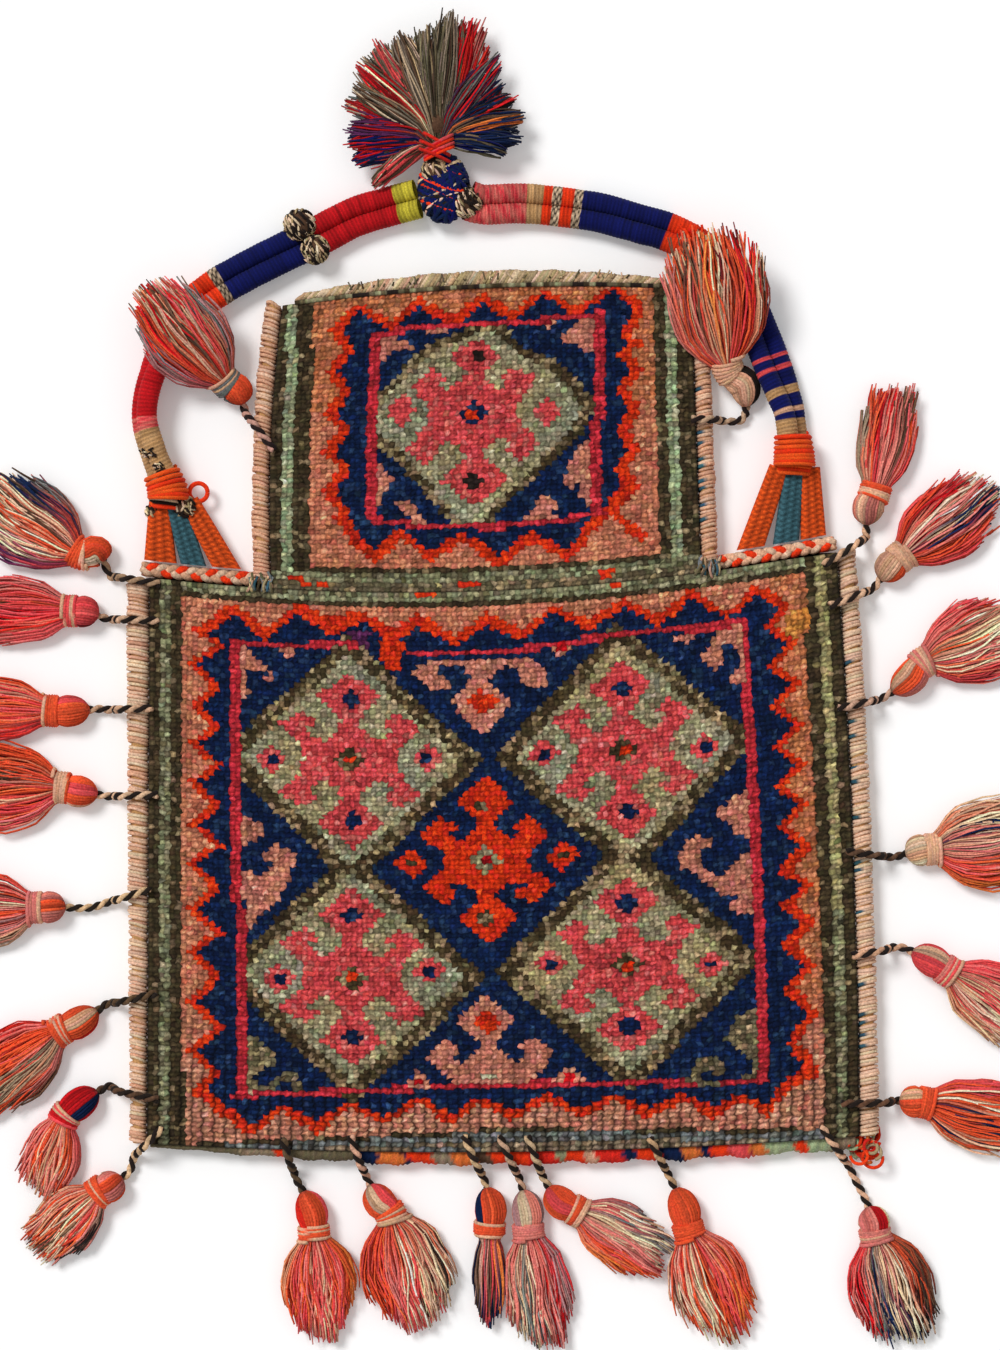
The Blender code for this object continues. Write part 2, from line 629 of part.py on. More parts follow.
def knot_middle():
    mouth = NECK.top(KNOT_SHARE)
    return Vector((mouth.x, mouth.y + HANDLE_RISE, KNOT_HEIGHT / 2 + CLEARANCE))


def off_knot(angle):
    """Where a flat end meets the knot when it leaves it at this angle, and the way that it leaves."""
    way = Vector((math.cos(math.radians(angle)), math.sin(math.radians(angle)), 0))
    a, b = KNOT_WIDTH / 2, KNOT_LENGTH / 2
    reach = math.hypot(a * way.x, b * way.y)
    touch = Vector((a * a * way.x, b * b * way.y, 0)) / reach
    return knot_middle() + touch + way * CLEARANCE, way


def make_knot(home):
    """The wrapped lump that the two halves of the handle and the crown tassel meet in."""
    shape = bmesh.new()
    bmesh.ops.create_uvsphere(shape, u_segments=18, v_segments=8, radius=1.0)
    for vert in shape.verts:
        round_way = math.atan2(vert.co.y, vert.co.x)
        wrap = 1 - 0.015 * abs(math.sin(2 * round_way + 3 * vert.co.z))
        vert.co = Vector((
            vert.co.x * KNOT_WIDTH / 2 * wrap, vert.co.y * KNOT_LENGTH / 2 * wrap,
            vert.co.z * KNOT_HEIGHT / 2,
        ))
    knot = mesh_object("handle_knot", shape, "navy", home)
    knot.location = knot_middle()
    knot.data.shade_smooth()
    return knot


def collar_middle(side):
    """Where the three legs of one half are bound together."""
    feet = [braid_point(side, leg[0]) for leg in (LEFT_LEGS if side == "left" else RIGHT_LEGS)]
    middle = sum(feet, Vector()) / len(feet)
    lean, rise = (LEFT_LEG_LEAN, LEFT_LEG_RISE) if side == "left" else (RIGHT_LEG_LEAN, RIGHT_LEG_RISE)
    return Vector((middle.x + lean, middle.y + rise, COLLAR_HEIGHT / 2 + CLEARANCE))


def pair_ring(middle, side, up, roll, radius):
    """The outline of two ropes side by side, rolled about the way that they run."""
    apart = 0.9 * radius
    points = []
    for k in range(ROPE_SIDES):
        angle = 2 * math.pi * k / ROPE_SIDES
        c, s = math.cos(angle), math.sin(angle)
        reach = apart * abs(c) + math.sqrt(radius**2 - (apart * s) ** 2)
        turned = angle + math.radians(roll)
        points.append(middle + (side * math.cos(turned) + up * math.sin(turned)) * reach)
    return points


def handle_path(side):
    """Places and rolls of the rope pair from the collar to the knot."""
    start = collar_middle(side)
    end, way = off_knot(LEFT_END_ANGLE if side == "left" else RIGHT_END_ANGLE)
    along = end - start
    along.z = 0
    beside = Vector((-along.y, along.x, 0))
    places = [start]
    rolls = [60]
    for share, offset, roll in LEFT_ROUTE if side == "left" else RIGHT_ROUTE:
        height = ROPE_RADIUS * (1 + 0.9 * abs(math.sin(math.radians(roll)))) + CLEARANCE
        flat = start + along * share + beside * offset
        places.append(Vector((flat.x, flat.y, height)))
        rolls.append(roll)
    places += [end + way * 0.008, end]
    places[0].z = places[1].z
    places[-2].z = (places[-3].z + end.z) / 2
    return places, rolls + [0, 0]


def make_handle(side, home, guides):
    places, rolls = handle_path(side)
    rings = []
    for i, (place, roll) in enumerate(zip(places, rolls)):
        sideways, up = across(places, i)
        if side == "right":
            roll = -roll
        rings.append(pair_ring(place, sideways, up, roll, ROPE_RADIUS))
    handle = loft("handle_" + side, rings, "red" if side == "left" else "navy", home)
    collar = collar_middle(side)
    route = [collar - Vector((0, 0.011, 0)), collar, places[1].copy(), places[2].copy()]
    widths = (COLLAR_WIDTH * 0.46, COLLAR_WIDTH * 0.54, COLLAR_WIDTH * 0.46, COLLAR_WIDTH * 0.38)
    rings = []
    for i, place in enumerate(route):
        sideways, up = across(route, i)
        rings.append(ring(place, sideways, up, widths[i], COLLAR_HEIGHT / 2 - 0.0006 * i, 10))
    extras = [loft("collar_" + side, rings, "orange", guides)]
    for k, (share, foot_width, top) in enumerate(LEFT_LEGS if side == "left" else RIGHT_LEGS):
        foot = braid_point(side, share, BRAID_WIDTH / 2 + 3 * CLEARANCE)
        foot.z = LEG_HEIGHTS[0]
        head = Vector((collar.x + top * MM, collar.y - 0.006, LEG_HEIGHTS[1]))
        route = [foot.lerp(head, t) for t in (0.0, 0.3, 0.6, 1.0)]
        rings = []
        for i, place in enumerate(route):
            sideways, up = across(route, i)
            if not i:
                step = shoulder(side)(share + 0.05) - shoulder(side)(share - 0.05)
                sideways, up = Vector((1, step.y / step.x, 0)).normalized(), Vector((0, 0, 1))
            width = foot_width * MM * (1 - i / 3) + LEG_TOP_WIDTH * i / 3
            rings.append(ring(place, sideways, up, width / 2, LEG_THICKNESS / 2, 8, power=3.0))
        extras.append(loft(f"leg_{side}_{k}", rings, "orange", guides))
    unite(handle, extras)
    return handle


def edge_point(edge, share):
    found = {"left": BODY.left, "right": BODY.right, "bottom": BODY.bottom, "corner": BODY.bottom,
             "neck_left": NECK.left, "neck_right": NECK.right}[edge](share)
    return Vector((found.x, found.y, 0))


def cord_route(edge, share, start, floor):
    """A cord's places: up over the cloth's edge and what finishes it, down its outside, then the floor's."""
    outward = {
        "left": Vector((-1, 0, 0)), "right": Vector((1, 0, 0)), "bottom": Vector((0, -1, 0)),
        "neck_left": Vector((-1, 0, 0)), "neck_right": Vector((1, 0, 0)),
        "corner": Vector((-0.6, -0.8, 0)),
    }[edge]
    if edge in ("bottom", "corner"):
        low_edge = FOLD_HEIGHT if edge == "bottom" else FACE_TOP
        width = FOLD_DEPTH_RIGHT + CLEARANCE if edge == "bottom" else 0.0
    else:
        low_edge = BINDING_HEIGHT
        width = (BINDING_WIDTH if edge in ("left", "right") else NECK_BINDING_WIDTH) + CLEARANCE
    room = CORD_DIAMETER / 2 + CLEARANCE
    top = FACE_TOP + 2 * FIELD_STEP + room
    anchor = edge_point(edge, share)
    floor = [anchor + Vector(place) * MM for place in floor]
    along = Vector((abs(outward.y), abs(outward.x), 0))
    first = Vector((start[1] * along.x, start[1] * along.y, 0)) * MM
    last = floor[0] - anchor
    last = along * last.dot(along)
    reach = (floor[0] - anchor).dot(outward)
    places = []
    for out, height in (
        (-start[0] * MM, top),
        (0.0, top),
        (0.55 * width, (low_edge + FACE_TOP) / 2 + room),
        (width + 0.0009, low_edge + 0.0013),
        (width + room + 0.0010, 0.6 * low_edge),
        (width + room + 0.0024, 0.0044),
    ):
        share_out = (out + start[0] * MM) / (reach + start[0] * MM)
        places.append(anchor + outward * out + first.lerp(last, share_out) + Vector((0, 0, height)))
    return places + floor


def make_cord(name, places, home):
    """A plain tube along a cord's route, on a smooth curve through the route's points."""
    curve = bpy.data.curves.new("cord_" + name, "CURVE")
    curve.dimensions = "3D"
    curve.bevel_depth = CORD_DIAMETER / 2
    curve.bevel_resolution = 2
    curve.use_fill_caps = True
    spline = curve.splines.new("POLY")
    shares = steps(len(places) - 1)
    spline.points.add(len(shares) - 1)
    for point, share in zip(spline.points, shares):
        point.co = (*smooth(places, share), 1)
    curve.materials.append(material("black"))
    made = bpy.data.objects.new("cord_" + name, curve)
    home.objects.link(made)
    return made


def make_tassel(name, places, waist, tip, spread, home):
    """Head, binding and skirt of a tassel in one closed form that lies on its side."""
    way = (places[-1] - places[-2]).normalized()
    start = places[-1] + way * CLEARANCE
    heights = LIFTED.get(name, (WAIST_THICKNESS * 500, SKIRT_THICKNESS * 500, SKIRT_THICKNESS * 500))
    waist = Vector((waist.x, waist.y, heights[0] * MM + CLEARANCE))
    tip = Vector((tip.x, tip.y, heights[2] * MM + CLEARANCE))
    middle = waist.lerp(tip, 0.5)
    middle.z = heights[1] * MM + CLEARANCE
    spine = [start, start.lerp(waist, 0.5), waist, middle, tip]
    spine[1] = start + way * (waist - start).length * 0.3 + (waist - start) * 0.2
    spine[1].z = HEAD_THICKNESS / 2 + CLEARANCE
    stations = (
        (0.00, CORD_DIAMETER * 0.5, CORD_DIAMETER * 0.5, 0.0),
        (0.12, HEAD_WIDTH * 0.42, HEAD_THICKNESS * 0.42, 0.0),
        (0.27, HEAD_WIDTH * 0.5, HEAD_THICKNESS * 0.5, 0.0),
        (0.42, WAIST_WIDTH * 0.5, WAIST_THICKNESS * 0.47, 0.0),
        (0.53, WAIST_WIDTH * 0.5, WAIST_THICKNESS * 0.5, 0.0),
        (0.62, spread[0] * MM * 0.76, SKIRT_THICKNESS * 0.5, 0.6),
        (0.75, spread[0] * MM * 1.1, SKIRT_THICKNESS * 0.5, 1.0),
        (0.90, spread[1] * MM, SKIRT_THICKNESS * 0.44, 1.0),
        (1.00, spread[1] * MM * 0.95, SKIRT_THICKNESS * 0.28, 1.0),
    )
    path = [smooth(spine, share) for share, _, _, _ in stations]
    rings = []
    for i, (_, half_width, half_height, groove) in enumerate(stations):
        sideways, up = across(path, i)
        if not i:
            sideways = way.cross(Vector((0, 0, 1))).normalized()
            up = sideways.cross(way).normalized()
        rings.append(
            ring(path[i], sideways, up, half_width, half_height, TASSEL_SIDES, groove=groove * LOCK_DEPTH)
        )
    return loft("tassel_" + name, rings, "rose", home)


def make_crown(home):
    """The bushy tassel on top of the knot."""
    start, way = off_knot(CROWN_ANGLE)
    end = start + Vector((-0.004, 1, 0)).normalized() * CROWN_LENGTH + way * 0.004
    stations = (
        (0.00, 0.16, 0.50), (0.10, 0.36, 0.80), (0.22, 0.72, 0.96), (0.42, 1.0, 1.0), (0.64, 0.92, 0.86),
        (0.84, 0.66, 0.62), (1.00, 0.34, 0.30),
    )
    path = [start.lerp(end, share) for share, _, _ in stations]
    for place, (share, _, height) in zip(path, stations):
        rest = CROWN_THICKNESS / 2 * height + 3 * CLEARANCE
        place.z = start.z * (1 - min(1, share * 2.5)) + rest * min(1, share * 2.5)
    rings = []
    for i, (share, width, height) in enumerate(stations):
        sideways, up = across(path, i)
        if not i:
            sideways, up = way.cross(Vector((0, 0, 1))).normalized(), Vector((0, 0, 1))
        groove = LOCK_DEPTH * (0.8 if i > 1 else 0.3)
        size = (CROWN_WIDTH / 2 * width, CROWN_THICKNESS / 2 * height)
        rings.append(ring(path[i], sideways, up, *size, CROWN_SIDES, groove=groove))
    return loft("tassel_crown", rings, "red", home)


def clear_scene():
    for old in list(bpy.data.objects):
        bpy.data.objects.remove(old)


def main():
    clear_scene()
    bag = collection("salt_bag")
    guides = collection("guides")
    make_face(bag, guides)
    make_back(bag, guides)
    top = 1 - (BRAID_WIDTH * 0.2) / BODY_LEFT_HEIGHT
    bound_edge("body_binding_left", BODY.left, -1, BINDING_WIDTH, (0.0, top, 14), bag)
    bound_edge("body_binding_right", BODY.right, 1, BINDING_WIDTH, (0.0, top, 14), bag)
    foot = NECK_BINDING_FOOT / NECK_HEIGHT
    bound_edge("neck_binding_left", NECK.left, -1, NECK_BINDING_WIDTH, (foot, 1.0, 7), bag)
    bound_edge("neck_binding_right", NECK.right, 1, NECK_BINDING_WIDTH, (foot, 1.0, 7), bag)
    for side in ("left", "right"):
        make_braid(side, bag)
        make_handle(side, bag, guides)
    make_knot(bag)
    make_crown(bag)
    make_hem("mouth_hem_front", FACE_BASE, FACE_BASE + HEM_THICKNESS, bag)
    make_hem("mouth_hem_back", 0.0, BACK_THICKNESS, bag)
    for name, edge, share, start, floor, waist, tip, spread in HANGINGS:
        places = cord_route(edge, share, start, floor)
        make_cord(name, places, bag)
        anchor = edge_point(edge, share)
        waist = anchor + Vector((*waist, 0)) * MM
        tip = anchor + Vector((*tip, 0)) * MM
        make_tassel(name, places, waist, tip, spread, bag)


main()
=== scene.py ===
# %% [markdown]
# # A woollen salt bag
# This scene makes a tribal salt bag yarn by yarn. The knotted face, the overcast edges, the wrapped handle
# and the tassels are all real geometry, dyed with colours that are stored on the mesh. A photograph of the
# bag, taken from straight above, was the model for it.

import math

import bpy
import numpy as np
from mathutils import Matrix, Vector


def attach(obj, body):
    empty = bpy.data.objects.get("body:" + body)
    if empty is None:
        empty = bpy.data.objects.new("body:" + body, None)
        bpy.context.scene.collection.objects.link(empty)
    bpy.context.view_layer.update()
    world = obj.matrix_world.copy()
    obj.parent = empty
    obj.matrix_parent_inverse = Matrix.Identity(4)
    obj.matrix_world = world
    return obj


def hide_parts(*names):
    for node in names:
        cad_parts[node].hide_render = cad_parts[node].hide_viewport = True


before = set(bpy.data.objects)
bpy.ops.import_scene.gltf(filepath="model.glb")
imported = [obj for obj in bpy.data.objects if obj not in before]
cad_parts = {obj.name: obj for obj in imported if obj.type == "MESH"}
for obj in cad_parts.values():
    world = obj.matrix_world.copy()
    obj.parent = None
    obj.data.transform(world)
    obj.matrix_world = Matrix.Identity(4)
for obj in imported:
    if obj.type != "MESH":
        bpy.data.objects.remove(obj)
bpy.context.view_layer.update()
MM = 0.001

# %% [markdown]
# ## The camera
# The photograph was taken from straight above with a long lens, so the bag shows hardly any perspective.
# One pixel of it is 0.55 mm. The camera hangs over the middle of the picture at the height where that
# scale falls on the face of the bag.

# %% Hang the camera
PIXEL, PICTURE_ROWS = 0.00055, 1350
PICTURE_MIDDLE = (0.0058, -0.00015)
FACE_HEIGHT = 0.012
LENS, SENSOR = 100.0, 36.0


def make_camera():
    data = bpy.data.cameras.new("photo_camera")
    data.lens, data.sensor_width = LENS, SENSOR
    camera = bpy.data.objects.new("photo_camera", data)
    camera.location = (*PICTURE_MIDDLE, FACE_HEIGHT + PICTURE_ROWS * PIXEL * LENS / SENSOR)
    bpy.context.scene.collection.objects.link(camera)
    bpy.context.scene.camera = camera
    return camera


camera = make_camera()
print("camera height in m:", round(camera.location.z, 3))

# %% [markdown]
# ## The edges of the cloth
# The weaver's edges aren't straight: the shoulder line sags, the right side bulges and the neck leans. Each
# edge is a straight line that bows at its middle. Four edges make a patch, and any knot in the patch is
# found from its column and row, as on a weaver's chart.

# %% Draw the edges and the two patches
BODY_CORNER = np.array((-0.1881, -0.2577))
BODY_BOTTOM_WIDTH, BODY_TOP_WIDTH = 0.3910, 0.3720
BODY_LEFT_HEIGHT, BODY_LEFT_LEAN = 0.3110, 0.0015
BODY_BOTTOM_RISE, BODY_TOP_RISE = 0.0040, 0.0140
SEAM_SAG, BOTTOM_SAG, BODY_RIGHT_BULGE = 0.0143, 0.0065, 0.0038
NECK_START, NECK_END = 0.180, 0.814
NECK_TOP_WIDTH, NECK_HEIGHT, NECK_TOP_RISE = 0.2240, 0.1555, 0.0094
NECK_LEFT_LEAN, NECK_LEFT_BULGE, MOUTH_CROWN = 0.0060, 0.0035, 0.0055
BODY_KNOTS, NECK_KNOTS = (64, 115), (38, 62)
BACK_THICKNESS, FACE_BASE, FACE_TOP = 0.003, 0.009, 0.015
CLEARANCE = 0.0003


def bowed(start, end, bow, share):
    """Points on the way from start to end, pushed by bow at the middle and by nothing at the ends."""
    share = np.asarray(share, float)[..., None]
    return start + (end - start) * share + np.asarray(bow) * 4 * share * (1 - share)


class Patch:
    """A piece of cloth between four curved edges, with u from 0 at its left to 1 and v from its foot."""

    def __init__(self, bottom, top, left, right):
        self.bottom, self.top, self.left, self.right = bottom, top, left, right

    def at(self, u, v):
        u, v = np.asarray(u, float), np.asarray(v, float)
        a, b = u[..., None], v[..., None]
        across = self.bottom(u) * (1 - b) + self.top(u) * b
        along = self.left(v) * (1 - a) + self.right(v) * a
        corners = (self.bottom(0) * (1 - a) + self.bottom(1) * a) * (1 - b)
        corners = corners + (self.top(0) * (1 - a) + self.top(1) * a) * b
        return across + along - corners


def body_patch():
    low_right = BODY_CORNER + (BODY_BOTTOM_WIDTH, BODY_BOTTOM_RISE)
    top_left = BODY_CORNER + (BODY_LEFT_LEAN, BODY_LEFT_HEIGHT)
    top_right = top_left + (BODY_TOP_WIDTH, BODY_TOP_RISE)
    return Patch(
        lambda t: bowed(BODY_CORNER, low_right, (0, -BOTTOM_SAG), t),
        lambda t: bowed(top_left, top_right, (0, -SEAM_SAG), t),
        lambda t: bowed(BODY_CORNER, top_left, (0, 0), t),
        lambda t: bowed(low_right, top_right, (BODY_RIGHT_BULGE, 0), t),
    )


def neck_patch(body):
    low_left, low_right = body.top(NECK_START), body.top(NECK_END)
    top_left = low_left + (NECK_LEFT_LEAN, NECK_HEIGHT)
    top_right = top_left + (NECK_TOP_WIDTH, NECK_TOP_RISE)
    return Patch(
        lambda t: body.top(NECK_START + (NECK_END - NECK_START) * np.asarray(t, float)),
        lambda t: bowed(top_left, top_right, (0, MOUTH_CROWN), t),
        lambda t: bowed(low_left, top_left, (-NECK_LEFT_BULGE, 0), t),
        lambda t: bowed(low_right, top_right, (0, 0), t),
    )


BODY = body_patch()
NECK = neck_patch(BODY)
print("mouth from", NECK.top(0), "to", NECK.top(1))

# %% [markdown]
# ## Lines of points
# A rope, a cord and a plait are all worked out from the line along their middle. At each point of the line
# there is a way on, a way aside and a way up, and whatever winds round the line is placed by these three.

# %% Measure along a line
def unit(ways):
    return ways / np.linalg.norm(ways, axis=-1, keepdims=True)


def frames(line, lift=(0, 0, 1.0)):
    """The way on, the way aside and the way up at each point of a line."""
    way = unit(np.gradient(line, axis=0))
    side = unit(np.cross(way, lift))
    return way, side, np.cross(side, way)


def lengths(line):
    """How far along the line each of its points lies."""
    return np.concatenate([[0], np.cumsum(np.linalg.norm(np.diff(line, axis=0), axis=1))])


def smooth(points, share):
    """A point on the smooth curve through these points, at a share of the way."""
    place = share * (len(points) - 1)
    i = min(int(place), len(points) - 2)
    t = place - i
    before = points[i - 1] if i else points[0] * 2 - points[1]
    after = points[i + 2] if i + 2 < len(points) else points[-1] * 2 - points[-2]
    a, b = points[i], points[i + 1]
    return 0.5 * (
        2 * a + (b - before) * t + (2 * before - 5 * a + 4 * b - after) * t**2
        + (3 * a - before - 3 * b + after) * t**3
    )


def curve(points, shares):
    """The smooth curve through these points, as a line with a point at each share."""
    return np.array([smooth(points, share) for share in shares])


print("the foot is", round(lengths(BODY.bottom(np.linspace(0, 1, 50)))[-1] * 1000), "mm long")

# %% [markdown]
# ## Dyes
# The wool is dyed in a small range: madder oranges and reds, indigo, walnut browns and undyed creams. The
# values are linear, as Blender uses them. A yarn never takes its dye evenly, so every yarn gets a shade of
# its own around the name's colour.

# %% Mix the dyes
DYES = {
    "salmon": (0.56, 0.190, 0.105), "worn": (0.53, 0.215, 0.135), "motif": (0.56, 0.200, 0.130),
    "orange": (0.74, 0.036, 0.005), "amber": (0.66, 0.150, 0.030), "red": (0.50, 0.006, 0.010),
    "scarlet": (0.62, 0.018, 0.010), "rose": (0.68, 0.066, 0.070), "pink": (0.60, 0.17, 0.14),
    "frame": (0.50, 0.024, 0.036), "maroon": (0.17, 0.012, 0.015), "purple": (0.09, 0.018, 0.075),
    "navy": (0.003, 0.012, 0.052), "blue": (0.003, 0.006, 0.085), "slate": (0.15, 0.16, 0.155),
    "teal": (0.03, 0.09, 0.125), "sky": (0.05, 0.11, 0.22), "sage": (0.36, 0.31, 0.175),
    "olive": (0.060, 0.040, 0.018), "green": (0.25, 0.245, 0.135), "sea": (0.30, 0.36, 0.20),
    "lime": (0.50, 0.42, 0.035), "khaki": (0.125, 0.100, 0.055), "guard": (0.052, 0.036, 0.017),
    "brown": (0.10, 0.050, 0.028), "black": (0.016, 0.010, 0.008), "cream": (0.68, 0.50, 0.33),
    "beige": (0.56, 0.34, 0.21), "peach": (0.64, 0.35, 0.22), "tan": (0.46, 0.25, 0.10),
    "grey": (0.19, 0.145, 0.105), "taupe": (0.25, 0.18, 0.115), "hem": (0.42, 0.30, 0.16),
    "mauve": (0.34, 0.17, 0.17), "edge": (0.70, 0.45, 0.31), "russet": (0.52, 0.165, 0.066),
    "ochre": (0.52, 0.19, 0.040), "crimson": (0.60, 0.030, 0.045), "moss": (0.37, 0.315, 0.14),
    "flame": (0.76, 0.085, 0.010), "petrol": (0.045, 0.125, 0.155), "ember": (0.70, 0.078, 0.024),
}


def pick(rng, names, count):
    """This many names, drawn at random from these."""
    return [names[i] for i in rng.integers(0, len(names), count)]


def dye(names, rng, spread=0.16, hue=0.05):
    """A shade around each name's colour. Returns one row of red, green and blue for each name."""
    base = np.array([DYES[name] for name in names])
    light = np.exp(rng.normal(0, spread, (len(base), 1)))
    return np.clip(base * light * np.exp(rng.normal(0, hue, base.shape)), 0.002, 0.9)


print(len(DYES), "dyes")

# %% [markdown]
# ## Wool
# All pieces share one wool effect: fine noise shifts the dye a little and raises a bump, like fibres that
# stand off the yarn. Each material keeps its own shader, so that its roughness and sheen can be set there.

# %% Make the wool effect and the materials
def put_in(node, values):
    for name, value in values.items():
        node.inputs[name].default_value = value


def link_all(tree, pairs):
    for start, end in pairs:
        tree.links.new(start, end)


def wool_effect():
    """A node group that takes a dye and gives back a fibrous colour and a normal."""
    group = bpy.data.node_groups.new("wool_fibres", "ShaderNodeTree")
    for name, kind in (("Dye", "NodeSocketColor"), ("Fineness", "NodeSocketFloat"),
                       ("Fuzz", "NodeSocketFloat")):
        group.interface.new_socket(name, in_out="INPUT", socket_type=kind)
    group.interface.new_socket("Colour", in_out="OUTPUT", socket_type="NodeSocketColor")
    group.interface.new_socket("Normal", in_out="OUTPUT", socket_type="NodeSocketVector")
    start = group.nodes.new("NodeGroupInput")
    end = group.nodes.new("NodeGroupOutput")
    place = group.nodes.new("ShaderNodeTexCoord")
    noise = group.nodes.new("ShaderNodeTexNoise")
    put_in(noise, {"Detail": 3.0, "Roughness": 0.65})
    shade = group.nodes.new("ShaderNodeMapRange")
    put_in(shade, {"From Min": 0.3, "From Max": 0.7, "To Min": 0.64, "To Max": 1.40})
    tint = group.nodes.new("ShaderNodeVectorMath")
    tint.operation = "SCALE"
    bump = group.nodes.new("ShaderNodeBump")
    put_in(bump, {"Distance": 0.0006})
    link_all(group, (
        (place.outputs["Object"], noise.inputs["Vector"]),
        (start.outputs["Fineness"], noise.inputs["Scale"]),
        (noise.outputs[0], shade.inputs["Value"]),
        (start.outputs["Dye"], tint.inputs[0]),
        (shade.outputs["Result"], tint.inputs["Scale"]),
        (noise.outputs[0], bump.inputs["Height"]),
        (start.outputs["Fuzz"], bump.inputs["Strength"]),
        (tint.outputs["Vector"], end.inputs["Colour"]),
        (bump.outputs["Normal"], end.inputs["Normal"]),
    ))
    return group


WOOL = wool_effect()


def wool_material(name, fineness, fuzz, roughness, sheen):
    made = bpy.data.materials.new(name)
    made.use_nodes = True
    tree = made.node_tree
    shader = tree.nodes["Principled BSDF"]
    put_in(shader, {"Roughness": roughness, "Specular IOR Level": 0.12, "Sheen Weight": sheen,
                    "Sheen Roughness": 0.5})
    dyed = tree.nodes.new("ShaderNodeVertexColor")
    dyed.layer_name = "Dye"
    fibres = tree.nodes.new("ShaderNodeGroup")
    fibres.node_tree = WOOL
    put_in(fibres, {"Fineness": fineness, "Fuzz": fuzz})
    link_all(tree, (
        (dyed.outputs["Color"], fibres.inputs["Dye"]),
        (fibres.outputs["Colour"], shader.inputs["Base Color"]),
        (fibres.outputs["Normal"], shader.inputs["Normal"]),
    ))
    return made


PILE_WOOL = wool_material("pile_wool", 1100.0, 0.60, 0.95, 0.03)
YARN_WOOL = wool_material("yarn_wool", 900.0, 0.45, 0.90, 0.05)
WOUND_WOOL = wool_material("wound_wool", 1400.0, 0.35, 0.85, 0.03)
print("wool materials:", PILE_WOOL.name, YARN_WOOL.name, WOUND_WOOL.name)

# %% [markdown]
# ## A basket of yarn
# Thousands of yarns would be slow to make one at a time. A basket collects their points, faces and dyes
# with numpy and turns them into one mesh at the end. It also gives each yarn a strip of its own in the bake
# map, side by side, so that the colours can be baked without smearing.

# %% Make the basket
FLOOR_GAP = 0.0001


